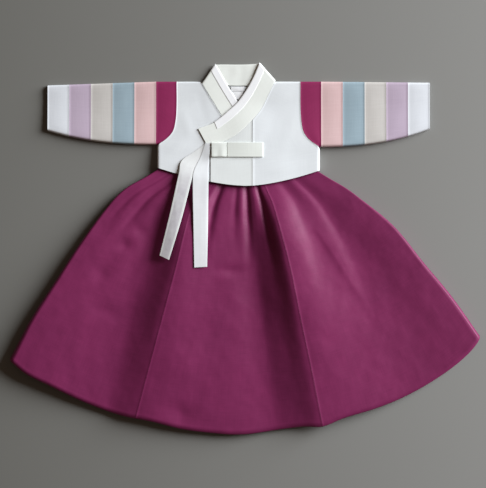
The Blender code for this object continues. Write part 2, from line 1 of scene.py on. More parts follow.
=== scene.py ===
"""Dresses a girl's hanbok that lies flat: a jacket with striped sleeves over a full gathered skirt.

Sizes in the classes are millimetres, and become metres where a mesh is made. Left and right are the
wearer's. The camera looks straight down, with the collar at the top of the picture.
"""

from __future__ import annotations

import functools
import logging
import math
from dataclasses import dataclass, field
from enum import Enum
from typing import Any, Callable, NamedTuple, Sequence

import bmesh
import bpy
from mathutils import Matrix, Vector, noise

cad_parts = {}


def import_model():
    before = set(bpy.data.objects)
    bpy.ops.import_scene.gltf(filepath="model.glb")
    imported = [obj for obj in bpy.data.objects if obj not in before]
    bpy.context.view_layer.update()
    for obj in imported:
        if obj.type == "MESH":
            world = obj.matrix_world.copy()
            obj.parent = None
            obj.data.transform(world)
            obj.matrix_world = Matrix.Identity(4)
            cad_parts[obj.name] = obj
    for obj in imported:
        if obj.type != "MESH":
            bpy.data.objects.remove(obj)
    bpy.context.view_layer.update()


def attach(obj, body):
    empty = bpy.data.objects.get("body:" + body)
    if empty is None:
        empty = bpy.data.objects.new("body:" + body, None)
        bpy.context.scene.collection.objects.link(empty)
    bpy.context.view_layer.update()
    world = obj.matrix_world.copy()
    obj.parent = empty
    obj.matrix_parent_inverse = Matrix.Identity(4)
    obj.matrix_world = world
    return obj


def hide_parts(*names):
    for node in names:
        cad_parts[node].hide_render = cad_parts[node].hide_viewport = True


LOG = logging.getLogger("hanbok")
BODY = "root"
MM = 0.001

Surface = Callable[[float, float], Vector]
Curve = Callable[[float], Vector]


# Small sums


def clamp(value: float) -> float:
    """Limits a value to the range from 0 to 1."""
    return min(1.0, max(0.0, value))


def smooth(value: float) -> float:
    """Eases from 0 to 1, level at both ends."""
    t = clamp(value)
    return t * t * (3 - 2 * t)


def mix(a: Any, b: Any, t: float) -> Any:
    """Goes from a to b as t goes from 0 to 1."""
    return a + (b - a) * t


def turn(value: float) -> float:
    """Follows a quarter circle, from 0 at an edge to 1 from one radius in."""
    return math.sqrt(1 - (1 - clamp(value)) ** 2)


def hump(distance: float, width: float) -> float:
    """A round hump, 1 at no distance."""
    return math.exp(-((distance / width) ** 2))


def hermite(a: Any, b: Any, slope_a: Any, slope_b: Any, t: float) -> Any:
    """Goes from a to b along a cubic with those end slopes."""
    return (
        a * (2 * t**3 - 3 * t**2 + 1)
        + slope_a * (t**3 - 2 * t**2 + t)
        + b * (3 * t**2 - 2 * t**3)
        + slope_b * (t**3 - t**2)
    )


def through(points: Sequence[tuple[float, float]], t: float) -> Vector:
    """Reads a smooth curve through points.

    Args:
        points: Places that the curve passes, spaced evenly in t.
        t: Share of the way along the curve.

    Returns:
        The point at that share.
    """
    spots = [Vector(p) for p in points]
    place = clamp(t) * (len(spots) - 1)
    i = min(int(place), len(spots) - 2)
    before = spots[max(i - 1, 0)]
    after = spots[min(i + 2, len(spots) - 1)]
    slope_a = (spots[i + 1] - before) / (2 if i else 1)
    slope_b = (after - spots[i]) / (2 if i + 2 < len(spots) else 1)
    return hermite(spots[i], spots[i + 1], slope_a, slope_b, place - i)


def waver(x: float, y: float, width: float, pattern: float) -> float:
    """Gives slow noise in plan, of about that width; each pattern number gives another one."""
    return noise.noise(Vector((x / width, y / width, pattern)))


def even(count: int) -> list[float]:
    """Gives count equal steps from 0 to 1."""
    return [i / count for i in range(count + 1)]


def round_tube(face: Sequence[float]) -> list[float]:
    """Gives shares right round a flat tube, from shares of one of its two faces."""
    return [0.5 * share for share in face] + [0.5 + 0.5 * share for share in face[1:]]


def up_tube(t: float) -> float:
    """Gives how far up a flat tube's face t is: up its back first, then down its front."""
    return 2 * t if t < 0.5 else 2 - 2 * t


def steps(length: float, cell: float, start_near: bool = True, end_near: bool = True) -> list[float]:
    """Divides a length into cells, with close ones at its edges.

    Args:
        length: The length, in millimetres.
        cell: The usual size of a cell, in millimetres.
        start_near: Whether close cells follow the first edge.
        end_near: Whether close cells precede the last edge.

    Returns:
        Shares of the length, from 0 to 1.
    """
    near = [0.0, 0.5, 1.1, 1.9, 3.0]
    start = near if start_near else [0.0]
    end = near if end_near else [0.0]
    count = max(2, round((length - start[-1] - end[-1]) / cell))
    inner = [mix(start[-1], length - end[-1], i / count) for i in range(1, count)]
    places = start + inner + [length - step for step in reversed(end)]
    return [place / length for place in places]


# Finishes


class Held(Enum):
    """How a sheet of cloth lies."""

    LAID = "laid"
    GATHERED = "gathered"
    FOLDED = "folded"


def linear(hex_colour: str) -> tuple[float, float, float, float]:
    """Turns an sRGB hex colour into linear values with an alpha of 1."""
    channels = [int(hex_colour[i : i + 2], 16) / 255 for i in (1, 3, 5)]
    r, g, b = [c / 12.92 if c <= 0.04045 else ((c + 0.055) / 1.055) ** 2.4 for c in channels]
    return (r, g, b, 1.0)


def add_node(
    tree: bpy.types.NodeTree, kind: str, values: dict[Any, Any] | None = None, **settings: Any
) -> Any:
    """Adds a node with its settings, and with values or links on its inputs.

    Args:
        tree: The material's node tree.
        kind: The node's type name.
        values: Input name or number to a value, or to the output socket that feeds it.
        **settings: The node's own settings.

    Returns:
        The node.
    """
    node = tree.nodes.new(kind)
    for name, setting in settings.items():
        setattr(node, name, setting)
    for name, value in (values or {}).items():
        if isinstance(value, bpy.types.NodeSocket):
            tree.links.new(value, node.inputs[name])
        else:
            node.inputs[name].default_value = value
    return node


def add_sum(tree: bpy.types.NodeTree, operation: str, *values: Any) -> bpy.types.NodeSocket:
    """Adds a sum of numbers or sockets, and gives its result."""
    node = add_node(tree, "ShaderNodeMath", dict(enumerate(values)), operation=operation)
    return node.outputs["Value"]


def add_noise(tree: bpy.types.NodeTree, place: Any, scale: float, detail: float) -> bpy.types.NodeSocket:
    """Adds noise, and gives its value from 0 to 1."""
    values = {"Vector": place, "Scale": scale, "Detail": detail}
    return add_node(tree, "ShaderNodeTexNoise", values).outputs["Fac"]


def add_range(tree: bpy.types.NodeTree, value: Any, low: float, high: float, least: float = 0.0) -> Any:
    """Maps the range from low to high on to the range from least to 1, and gives the result."""
    values = {"Value": value, "From Min": low, "From Max": high, "To Min": least, "To Max": 1.0}
    return add_node(tree, "ShaderNodeMapRange", values).outputs["Result"]


def add_blend(tree: bpy.types.NodeTree, share: Any, a: Any, b: Any) -> bpy.types.NodeSocket:
    """Adds a blend of colour a into colour b, and gives its result."""
    values = {0: share, 6: a, 7: b}  # the numbers of a colour blend's sockets
    return add_node(tree, "ShaderNodeMix", values, data_type="RGBA").outputs[2]


WAVE_RUN = math.pi / 10  # length of a band wave whose scale is 1


@dataclass(frozen=True)
class SilkFinish:
    """Plain-woven silk, calendered to a low sheen.

    Its threads are finer than a picture of the whole garment shows, so the weave is drawn at thread_mm,
    which just shows from close by. Uneven threads (slubs) give the faint streaks of hand-loomed silk.
    """

    name: str
    slot: str
    colour: str
    shade: str
    roughness: float = 0.55
    sheen: float = 0.06
    sheen_colour: str = "#ffffff"
    sheen_roughness: float = 0.3
    specular: float = 0.35
    thread_mm: float = 0.9
    thread_waver: float = 0.6
    weave_depth_mm: float = 0.05
    weave_strength: float = 0.5
    slub_mm: tuple[float, float] = (1.6, 45.0)
    cloud_mm: float = 70.0

    def material(self) -> bpy.types.Material:
        """Builds the material, or finds it if it is already built."""
        found = bpy.data.materials.get(self.name)
        if found:
            return found
        made = bpy.data.materials.new(self.name)
        made.use_nodes = True
        tree = made.node_tree
        shader = tree.nodes["Principled BSDF"]
        shader.inputs["Roughness"].default_value = self.roughness
        shader.inputs["Specular IOR Level"].default_value = self.specular
        shader.inputs["Sheen Weight"].default_value = self.sheen
        shader.inputs["Sheen Roughness"].default_value = self.sheen_roughness
        shader.inputs["Sheen Tint"].default_value = linear(self.sheen_colour)
        cloth = add_node(tree, "ShaderNodeUVMap", uv_map="cloth").outputs["UV"]
        tree.links.new(self._colour(tree, cloth), shader.inputs["Base Color"])
        tree.links.new(self._bump(tree, cloth), shader.inputs["Normal"])
        return made

    def _streaks(
        self, tree: bpy.types.NodeTree, cloth: bpy.types.NodeSocket, across: bool
    ) -> bpy.types.NodeSocket:
        """Adds long narrow noise along the warp, or along the weft.

        Args:
            tree: The material's node tree.
            cloth: The cloth's own coordinates, in metres.
            across: Whether the streaks run along the weft.

        Returns:
            The noise, from 0 to 1.
        """
        narrow, long = (1 / (size * MM) for size in self.slub_mm)
        scale = (long, narrow, 1.0) if across else (narrow, long, 1.0)
        stretched = add_node(tree, "ShaderNodeMapping", {"Vector": cloth, "Scale": scale})
        return add_noise(tree, stretched.outputs["Vector"], 1.0, 2.0)

    def _colour(self, tree: bpy.types.NodeTree, cloth: bpy.types.NodeSocket) -> bpy.types.NodeSocket:
        """Adds the colour: two close shades, mixed by slubs and by a slow clouding of the dye."""
        place = add_node(tree, "ShaderNodeTexCoord").outputs["Object"]
        cloud = add_noise(tree, place, 1 / (self.cloud_mm * MM), 3.0)
        warp = self._streaks(tree, cloth, across=False)
        weft = self._streaks(tree, cloth, across=True)
        mixed = add_sum(tree, "ADD", add_sum(tree, "ADD", warp, weft), cloud)
        return add_blend(tree, add_range(tree, mixed, 1.0, 2.0), linear(self.shade), linear(self.colour))

    def _bump(self, tree: bpy.types.NodeTree, cloth: bpy.types.NodeSocket) -> bpy.types.NodeSocket:
        """Adds the weave: warp and weft threads that rise in turn, as relief."""
        scale = WAVE_RUN / (self.thread_mm * MM)
        wave = {"Vector": cloth, "Scale": scale, "Distortion": self.thread_waver, "Detail": 1.0}
        threads = [
            add_node(tree, "ShaderNodeTexWave", wave, wave_type="BANDS", bands_direction=way).outputs["Fac"]
            for way in ("X", "Y")
        ]
        weave = add_sum(tree, "MULTIPLY", *threads)
        height = add_sum(tree, "ADD", weave, self._streaks(tree, cloth, across=True))
        depth = self.weave_depth_mm * MM
        values = {"Height": height, "Distance": depth, "Strength": self.weave_strength}
        return add_node(tree, "ShaderNodeBump", values).outputs["Normal"]


@dataclass(frozen=True)
class OrganzaFinish(SilkFinish):
    """Thin stiff silk for the ties, seamed down both edges.

    Its turnings make the edges whiter, and what is behind it greys the single cloth between them.
    """

    grey: str = "#c9c6cb"
    grey_share: float = 0.5
    turning_mm: float = 4.2
    turning_blur_mm: float = 0.4
    ribbon_mm: float = 26.5
    behind_y_mm: tuple[float, float] = (150.0, 105.0)
    mottle_mm: float = 1000 / 90
    mottle_range: tuple[float, float] = (0.25, 0.75)
    mottle_least: float = 0.45

    def _colour(self, tree: bpy.types.NodeTree, cloth: bpy.types.NodeSocket) -> bpy.types.NodeSocket:
        """Greys the middle of the ribbon where it lies over the skirt."""
        silk = super()._colour(tree, cloth)
        share = add_sum(tree, "MULTIPLY", self._seen_through(tree, cloth), self.grey_share)
        return add_blend(tree, share, silk, linear(self.grey))

    def _seen_through(self, tree: bpy.types.NodeTree, cloth: bpy.types.NodeSocket) -> bpy.types.NodeSocket:
        """Finds where the skirt shows through: between the turnings, below the jacket, and unevenly."""
        across = add_node(tree, "ShaderNodeSeparateXYZ", {"Vector": cloth}).outputs["X"]
        half = self.ribbon_mm / 2 * MM
        off = add_sum(tree, "ABSOLUTE", add_sum(tree, "SUBTRACT", across, half))
        inner = half - self.turning_mm * MM
        blur = self.turning_blur_mm * MM
        single = add_range(tree, off, inner + blur, inner - blur)
        place = add_node(tree, "ShaderNodeTexCoord").outputs["Object"]
        down = add_node(tree, "ShaderNodeSeparateXYZ", {"Vector": place}).outputs["Y"]
        top, low = self.behind_y_mm
        over_skirt = add_range(tree, down, top * MM, low * MM)
        mottle = add_noise(tree, place, 1 / (self.mottle_mm * MM), 3.0)
        uneven = add_range(tree, mottle, *self.mottle_range, self.mottle_least)
        return add_sum(tree, "MULTIPLY", add_sum(tree, "MULTIPLY", single, over_skirt), uneven)


# Silk taffeta is woven tight and pressed: a low even sheen, broad and without sharp glints.
# The skirt's is the duller, so that its folds show by light and shade.
SKIRT_SILK = SilkFinish(
    "silk_taffeta_magenta", "magenta_silk", "#802958", "#71234e",
    roughness=0.5, sheen=0.05, sheen_colour="#c8608c", specular=0.24,
)
SLEEVE_MAGENTA = SilkFinish(
    "silk_taffeta_crimson", "sleeve_magenta_silk", "#94265b", "#852151", sheen_colour="#d77fb4"
)
BODY_SILK = SilkFinish("silk_taffeta_white", "white_silk", "#e5eaec", "#dce1e4")
OVERLAP_SILK = SilkFinish("silk_taffeta_pearl", "white_silk", "#e8edec", "#dfe4e3")
COLLAR_SILK = SilkFinish("silk_taffeta_ivory", "ivory_silk", "#f1f5f0", "#e9eee8")
# The ties' silk is doubled in the knot and the loop, and single in the tails, where the skirt's
# colour greys it.
TIE_SILK = SilkFinish("silk_ribbon_ivory", "tie_silk", "#e9eee8", "#e0e5df")
OVER_TIE_SILK = OrganzaFinish(
    "silk_organza_ivory", "tie_silk", "#e7ebed", "#dfe3e5", grey_share=0.3
)
UNDER_TIE_SILK = OrganzaFinish(
    "silk_organza_grey", "tie_silk", "#e6e9e8", "#dde0e0", grey="#b4aeb7", grey_share=0.75
)
# Starched cotton is matt and the whitest of all; satin has the brightest gloss; calico is dull.
STRIP_COTTON = SilkFinish(
    "starched_cotton_white", "starched_white", "#fafcfd", "#f6f8fa", roughness=0.7, sheen=0.04
)
LABEL_SATIN = SilkFinish(
    "satin_white", "label_satin", "#f8fafb", "#eceff1", roughness=0.4, thread_mm=0.6
)
BAND_COTTON = SilkFinish(
    "cotton_calico_white", "waistband_cotton", "#e9edef", "#dde2e4", roughness=0.8, sheen=0.04
)
STRIPE_SILKS = (
    ("magenta", SLEEVE_MAGENTA),
    ("pink", SilkFinish("silk_taffeta_pink", "pink_silk", "#dfc2c2", "#d4b4b4")),
    ("blue", SilkFinish("silk_taffeta_blue", "blue_silk", "#a1b6c0", "#93a8b3")),
    ("beige", SilkFinish("silk_taffeta_beige", "beige_silk", "#cfccc8", "#c2bfba")),
    ("lavender", SilkFinish("silk_taffeta_lavender", "lavender_silk", "#c3b3c5", "#b7a7ba")),
    ("white", SilkFinish("silk_taffeta_pale", "cuff_silk", "#e2e6eb", "#d8dde3")),
)


# Sheets of cloth

FRONT_FROM = 0.1  # grid points above this are in front; a tube's back comes first


@dataclass
class Sheet:
    """A piece of cloth: the surface it lies on, its cut, and what it is dressed in.

    Attributes:
        name: The piece's name.
        surface: Gives the outer face, in millimetres, at shares across and along the cut.
        columns: Shares across at which the mesh has points.
        rows: Shares along at which the mesh has points.
        flat: Width and length of the cut, in millimetres.
        finish: The silk or cotton that it is made of.
        nodes: The solids that it stands for.
        rests_on: What it lies on; not used.
        held: How it lies; not used.
        wall: Its thickness, in millimetres.
        area_share: The cut's area, as a share of its width times its length; not used.
    """

    name: str
    surface: Surface
    columns: Sequence[float]
    rows: Sequence[float]
    flat: tuple[float, float]
    finish: SilkFinish
    nodes: tuple[str, ...]
    rests_on: tuple[str, ...] = ()
    held: Held = Held.LAID
    wall: float = 0.8
    area_share: float = 1.0

    def sew(self) -> bpy.types.Object:
        """Makes the piece, hangs it on the body, hides the solids that it stands for and logs its number of
        faces.
        """
        piece = self._mesh()
        solid = piece.modifiers.new("wall", "SOLIDIFY")
        solid.thickness = self.wall * MM
        solid.offset = -1
        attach(piece, BODY)
        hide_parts(*self.nodes)
        LOG.info("%s: %d faces", self.name, len(piece.data.polygons))
        return piece

    def _mesh(self) -> bpy.types.Object:
        """Moves a grid's points on to the surface and lays the cloth's own coordinates on it."""
        wide, high = len(self.columns) - 1, len(self.rows) - 1
        shape = bmesh.new()
        bmesh.ops.create_grid(shape, x_segments=wide, y_segments=high, size=0.5)
        cut = shape.loops.layers.uv.new("cloth")
        for face in shape.faces:
            for loop in face.loops:
                i, j = self._cell(loop.vert, wide, high)
                loop[cut].uv = (self.columns[i] * self.flat[0] * MM, self.rows[j] * self.flat[1] * MM)
        shown = [face for face in shape.faces if face.calc_center_median().y > FRONT_FROM]
        for vertex in shape.verts:
            i, j = self._cell(vertex, wide, high)
            vertex.co = Vector(self.surface(self.columns[i], self.rows[j])) * MM
        shape.normal_update()
        front = sum(face.normal.z * face.calc_area() for face in shown)
        if front < 0:
            bmesh.ops.reverse_faces(shape, faces=shape.faces)
        mesh = bpy.data.meshes.new(f"{self.name}_cloth")
        shape.to_mesh(mesh)
        shape.free()
        mesh.materials.append(self.finish.material())
        mesh.shade_smooth()
        piece = bpy.data.objects.new(f"{self.name}_cloth", mesh)
        bpy.context.scene.collection.objects.link(piece)
        return piece

    @staticmethod
    def _cell(vertex: bmesh.types.BMVert, wide: int, high: int) -> tuple[int, int]:
        """Finds a grid point's column and row before the grid is moved."""
        return round((vertex.co.x + 0.5) * wide), round((vertex.co.y + 0.5) * high)


# The jacket's form

SEAM_SHARE = 0.25  # share of a body edge's run that is the side seam, below the armhole


class Crease(NamedTuple):
    """A soft ridge along a line in plan, or a trough where its height is below zero."""

    from_x: float
    from_y: float
    to_x: float
    to_y: float
    width: float
    height: float

    def rise(self, x: float, y: float) -> float:
        """Gives the crease's height at a point in plan."""
        along_x, along_y = self.to_x - self.from_x, self.to_y - self.from_y
        length = math.hypot(along_x, along_y)
        off_x, off_y = x - self.from_x, y - self.from_y
        along = (off_x * along_x + off_y * along_y) / length**2
        off = abs(off_x * along_y - off_y * along_x) / length
        if not 0 < along < 1 or off > 3 * self.width:
            return 0.0
        return self.height * math.sin(math.pi * along) ** 1.2 * hump(off, self.width)


@dataclass(frozen=True)
class Side:
    """One half of the jacket: which way it lies from the middle, and where its edges are."""

    name: str
    sign: int
    underarm_y: float
    hem_y: float
    cuff_top_y: float
    cuff_low_y: float


@dataclass
class JacketForm:
    """The jacket's outline and heights, which its pieces share."""

    centre_x: float = -12.0
    shoulder_y: float = 306.0
    half_chest: float = 150.0
    half_shoulder: float = 114.0
    stripe: float = 40.0
    stripe_seam: float = 152.0
    hem_low: tuple[float, float] = (2.0, 113.0)
    hem_power: float = 1.62
    underside_power: float = 2.4
    edge_z: float = 1.5
    chest_z: float = 6.0
    hem_z: float = 17.6
    edge_radius: float = 3.2
    swell_top_y: float = 268.0
    swell_power: float = 1.4
    outer_lift: float = 1.5
    crossing_lift: float = 1.7
    crossing: tuple[float, float, float] = (0.0, 222.0, 42.0)
    lift_end_x: float = 120.0
    lift_run: float = 100.0
    waver_height: float = 0.45
    waver_width: float = 46.0
    armhole_run_y: float = 260.0
    armhole_curve: tuple[tuple[float, float], ...] = (
        (116.0, 44.0), (121.0, 25.0), (133.0, 11.0), (149.4, 0.0),
    )
    right: Side = Side("right", -1, 189.0, 147.0, 299.0, 215.0)
    left: Side = Side("left", 1, 185.0, 142.0, 304.0, 218.0)
    creases: tuple[Crease, ...] = (
        Crease(-150, 176, -96, 196, 9, 0.41),
        Crease(-146, 160, -84, 172, 8, -0.32),
        Crease(-118, 262, -96, 190, 10, 0.32),
        Crease(-88, 296, -70, 214, 9, -0.23),
        Crease(30, 262, 96, 292, 12, 0.27),
        Crease(96, 250, 60, 160, 12, 0.32),
        Crease(128, 178, 40, 150, 9, -0.36),
        Crease(120, 160, 30, 132, 8, 0.32),
        Crease(0, 158, -52, 142, 9, 0.27),
        Crease(60, 236, 24, 176, 10, -0.23),
    )

    def side_of(self, x: float) -> Side:
        """Tells which half a point is in."""
        return self.left if x > self.centre_x else self.right

    def top_edge_y(self, side: Side, out: float) -> float:
        """Gives the upper edge of shoulder and sleeve at a distance out from the middle."""
        return mix(self.shoulder_y, side.cuff_top_y, clamp((out - self.stripe_seam) / (5 * self.stripe)))

    def low_edge_y(self, side: Side, out: float) -> float:
        """Gives the curved underside of the sleeve."""
        reach = 5 * self.stripe + self.stripe_seam - self.half_chest
        along = clamp((out - self.half_chest) / reach)
        return mix(side.underarm_y, side.cuff_low_y, along**self.underside_power)

    def hem_y(self, x: float) -> float:
        """Gives the curved hem."""
        side = self.side_of(x)
        low_x, low_y = self.hem_low
        reach = abs(self.centre_x + side.sign * self.half_chest - low_x)
        return mix(low_y, side.hem_y, (abs(x - low_x) / reach) ** self.hem_power)

    def swell(self, x: float, y: float) -> float:
        """Gives the height that the front would have with no turned edges."""
        down = clamp((self.swell_top_y - y) / (self.swell_top_y - self.hem_low[1]))
        body = mix(self.chest_z, self.hem_z, down**self.swell_power)
        uneven = self.waver_height * waver(x, y, self.waver_width, 3.1)
        return body + uneven + sum(crease.rise(x, y) for crease in self.creases)

    def inside(self, x: float, y: float) -> float:
        """Gives the distance in from the outline, at the sides, shoulders and sleeves."""
        side, out = self.side_of(x), abs(x - self.centre_x)
        below = max(self.half_chest - out, y - self.low_edge_y(side, out))
        return min(self.top_edge_y(side, out) - y, below)

    def height(self, x: float, y: float) -> float:
        """Gives the upper face of the under front and of the sleeves."""
        return mix(self.edge_z, self.swell(x, y), turn(self.inside(x, y) / self.edge_radius))

    def lift(self, x: float, y: float) -> float:
        """Gives how far the outer front lies above the under one, most where the collars cross."""
        crossing_x, crossing_y, reach = self.crossing
        off = math.hypot(x - crossing_x, y - crossing_y)
        high = self.outer_lift + self.crossing_lift * hump(off, reach)
        return high * smooth((self.lift_end_x - x) / self.lift_run)

    def outer_height(self, x: float, y: float) -> float:
        """Gives the upper face of the outer front."""
        return self.height(x, y) + self.lift(x, y)

    def body_edge(self, side: Side, t: float, out_by: float = 0.0) -> Vector:
        """Reads the body's side seam and then its armhole.

        Args:
            side: Which half.
            t: 0 at the hem, 1 at the shoulder.
            out_by: How far outside the seam.

        Returns:
            The point in plan.
        """
        if t < SEAM_SHARE:
            y = mix(side.hem_y, side.underarm_y, t / SEAM_SHARE)
            return Vector((self.centre_x + side.sign * self.half_chest, y))
        curve = (
            (self.half_shoulder, self.shoulder_y),
            (self.half_shoulder, self.armhole_run_y),
            *((out, side.underarm_y + up) for out, up in self.armhole_curve),
        )
        out, y = through(curve, 1 - (t - SEAM_SHARE) / (1 - SEAM_SHARE))
        return Vector((self.centre_x + side.sign * (out + out_by), y + (out_by if t < 0.999 else 0)))


@dataclass
class CollarForm:
    """The collar band's edges, from its fold beside the back of the neck to its ends."""

    outer_neck: tuple[tuple[float, float], ...] = (
        (27.4, 340.5), (17.0, 315.6), (4.0, 291.6), (-12.3, 268.6),
        (-31.1, 250.6), (-57.0, 230.2), (-86.5, 218.8),
    )
    outer_seam: tuple[tuple[float, float], ...] = (
        (56.3, 308.2), (42.9, 280.6), (28.7, 253.0), (9.8, 230.9),
        (-15.1, 208.1), (-41.8, 193.2), (-67.3, 183.1),
    )
    inner_neck: tuple[tuple[float, float], ...] = (
        (-55.2, 338.4), (-34.4, 301.4), (-14.7, 269.6), (5.2, 236.4), (12.5, 223.6),
    )
    inner_seam: tuple[tuple[float, float], ...] = (
        (-79.5, 302.3), (-61.1, 271.8), (-42.3, 241.2), (-22.4, 208.8), (-15.0, 197.0),
    )
    seop_top: float = 0.47
    strip_share: float = 0.33
    strip_end: float = 0.83
    back_z: float = 4.8
    rise: float = 0.2
    fold_radius: float = 3.0
    width: float = 38.0
    strip_width: float = 13.0


# The jacket's pieces

SEAM = 0.12  # between two pieces at a seam
PRESS_HEIGHT = 0.4  # how far the turnings under a seam lift the cloth
PRESS_WIDTH = 1.5


def pressed(distance: float) -> float:
    """Gives how far the turnings below lift cloth beside a pressed seam."""
    return PRESS_HEIGHT * hump(distance, PRESS_WIDTH)


@dataclass
class Sleeve:
    """A sleeve of six strips, each of which goes round it from its underarm seam and back."""

    form: JacketForm
    side: Side
    back_radius: float = 1.6
    puff: float = 0.5
    puff_in: float = 14.0

    def seam(self, k: int) -> Curve:
        """Gives the seam k stripes out, as distance out and height, from the underside to the top."""
        out = self.form.stripe_seam + k * self.form.stripe
        low = self.form.low_edge_y(self.side, out)
        high = self.form.top_edge_y(self.side, out)
        return lambda t: Vector((out, mix(low, high, t)))

    def armhole(self, t: float) -> Vector:
        """Gives the armhole's seam, as distance out and height."""
        point = self.form.body_edge(self.side, mix(SEAM_SHARE, 1, t), SEAM / 2)
        return Vector((abs(point.x - self.form.centre_x), point.y))

    def strip(self, k: int) -> Surface:
        """Gives the outer face of strip k, right round the sleeve.

        Args:
            k: 0 at the armhole, 5 at the cuff.

        Returns:
            The surface: s runs out along the sleeve, and t up its back and down its front.
        """
        inner = self.seam(k - 1) if k else self.armhole
        outer = self.seam(k)

        def surface(s: float, t: float) -> Vector:
            up = up_tube(t)
            a, b = inner(up), outer(up)
            out, y = mix(a, b, s)
            if k:
                y = mix(self.form.low_edge_y(self.side, out), self.form.top_edge_y(self.side, out), up)
            x = self.form.centre_x + self.side.sign * (out + SEAM * (0.5 - s))
            inside = self.form.inside(x, y)
            if t < 0.5:
                return Vector((x, y, self.form.edge_z * (1 - turn(inside / self.back_radius))))
            puff = self.puff * math.sin(math.pi * s) * smooth(inside / self.puff_in)
            from_seam = min(s, 1 - s) * (b - a).x
            return Vector((x, y, self.form.height(x, y) + puff + pressed(from_seam)))

        return surface

    def sew(self) -> None:
        """Makes the six strips."""
        stripe = self.form.stripe
        deep = self.form.shoulder_y - self.form.low_edge_y(self.side, self.form.stripe_seam)
        around = round_tube(steps(deep, 3.2))
        for k, (colour, silk) in enumerate(STRIPE_SILKS):
            name = f"sleeve_{self.side.name}_{colour}"
            Sheet(
                name, self.strip(k), steps(stripe, 2.6), around, (stripe, 2 * deep), silk,
                (f"{name}_front", f"{name}_back"), held=Held.FOLDED,
            ).sew()


@dataclass
class Jacket:
    """The jacket's body: a back, two fronts and the overlap panel."""

    form: JacketForm = field(default_factory=JacketForm)
    collar: CollarForm = field(default_factory=CollarForm)
    overlap_edge_x: float = -64.0
    overlap_seam_x: float = 14.4
    overlap_width: float = 78.0
    lip_height: float = 0.9
    lip_radius: float = 1.4
    inner_edge_x: float = 22.0
    back_wall: float = 0.8
    back_hem_up: float = 6.0
    neck_scoop: float = 7.0
    neck_half: float = 60.0
    neck_stand: float = 3.0
    stand_below: float = 20.0
    stand_reach: float = 34.0
    hem_share: float = 0.3
    armhole_share: float = 0.26
    front_width: float = 110.0
    cell: float = 3.0

    def back(self) -> Sheet:
        """The back, with a scooped neck."""
        form = self.form

        def surface(s: float, t: float) -> Vector:
            x, y = mix(form.body_edge(form.right, t, -SEAM / 2), form.body_edge(form.left, t, -SEAM / 2), s)
            if t < SEAM_SHARE:
                y += (form.hem_y(x) + self.back_hem_up - y) * (1 - smooth(t / SEAM_SHARE))
            from_middle = x - form.centre_x
            scoop = smooth(1.35 - abs(from_middle) / self.neck_half) * smooth((t - 0.5) / 0.5)
            from_neck = math.hypot(from_middle, y - form.shoulder_y + self.stand_below)
            stand = self.neck_stand * hump(from_neck, self.stand_reach)
            return Vector((x, y - self.neck_scoop * scoop, self.back_wall + stand))

        return Sheet(
            "jacket_back", surface, even(70), even(48), (300, 192), BODY_SILK, ("jacket_back",),
            area_share=0.9,
        )

    def under_edge(self, t: float) -> Vector:
        """Gives the hidden edge of the wearer's right front, from its hem to the shoulder."""
        corner_share = 0.3
        corner = Vector((12.0, 153.0))
        if t < corner_share:
            foot = Vector((self.inner_edge_x, self.form.hem_y(self.inner_edge_x)))
            return mix(foot, corner, t / corner_share)
        seam = (tuple(corner), (-15.4, 197.0), (-42.7, 241.0), (-61.5, 271.6), (-81.4, 304.0))
        return through(seam, (t - corner_share) / (1 - corner_share))

    def right_front(self) -> Sheet:
        """The under front."""
        form = self.form

        def surface(s: float, t: float) -> Vector:
            x, y = mix(form.body_edge(form.right, t, -SEAM / 2), self.under_edge(t), s)
            if t < self.hem_share:
                rise = 3.0 * smooth((x - self.overlap_edge_x) / 20)
                y += (form.hem_y(x) + rise - y) * (1 - smooth(t / self.hem_share))
            lift = pressed((1 - s) * 60)
            if t > self.armhole_share:
                lift += pressed(s * self.front_width)
            return Vector((x, y, form.height(x, y) + lift))

        return Sheet(
            "jacket_front_right", surface, steps(150, self.cell), steps(190, self.cell), (184, 190),
            BODY_SILK, ("jacket_front_right",), ("waistband_front", "skirt_front_right", "jacket_back"),
            area_share=0.62,
        )

    def inner_edge(self, t: float) -> Vector:
        """Gives the left front's edge along the overlap's seam and then the collar's."""
        corner_share = 0.5
        corner = through(self.collar.outer_seam, self.collar.seop_top)
        if t < corner_share:
            foot = Vector((self.overlap_seam_x, self.form.hem_y(self.overlap_seam_x)))
            point = mix(foot, Vector((self.overlap_seam_x, corner.y)), t / corner_share)
        else:
            share = (t - corner_share) / (1 - corner_share)
            point = through(self.collar.outer_seam, self.collar.seop_top * (1 - share))
            point = mix(point, Vector((56.5, self.form.shoulder_y)), smooth((t - 0.9) / 0.1))
        return point + Vector((SEAM, -SEAM if t > corner_share else 0))

    def left_front(self) -> Sheet:
        """The outer front."""
        form = self.form

        def surface(s: float, t: float) -> Vector:
            x, y = mix(self.inner_edge(t), form.body_edge(form.left, t, -SEAM / 2), s)
            if t < self.hem_share:
                y += (form.hem_y(x) - y) * (1 - smooth(t / self.hem_share))
            lift = pressed(s * self.front_width)
            if t > self.armhole_share:
                lift += pressed((1 - s) * 90)
            return Vector((x, y, form.outer_height(x, y) + lift))

        return Sheet(
            "jacket_front_left", surface, steps(self.front_width, self.cell), steps(190, self.cell),
            (124, 192), BODY_SILK, ("jacket_front_left",), ("jacket_front_right", "skirt_front_left"),
            area_share=0.72,
        )

    def overlap(self) -> Sheet:
        """The overlap panel (seop), whose front edge folds over with a round lip."""
        form = self.form
        wide = self.overlap_width

        def surface(s: float, t: float) -> Vector:
            x = mix(self.overlap_edge_x, self.overlap_seam_x, s)
            top = through(self.collar.outer_seam, mix(0.985, self.collar.seop_top, s))
            y = mix(form.hem_y(x), top.y - SEAM, t)
            if s > 0.02:
                x = mix(x, top.x, smooth(t / 1.2))
            lift = pressed((1 - s) * wide)
            lip = -self.lip_height * (1 - turn(s * wide / self.lip_radius))
            return Vector((x, y, form.outer_height(x, y) + lift + lip))

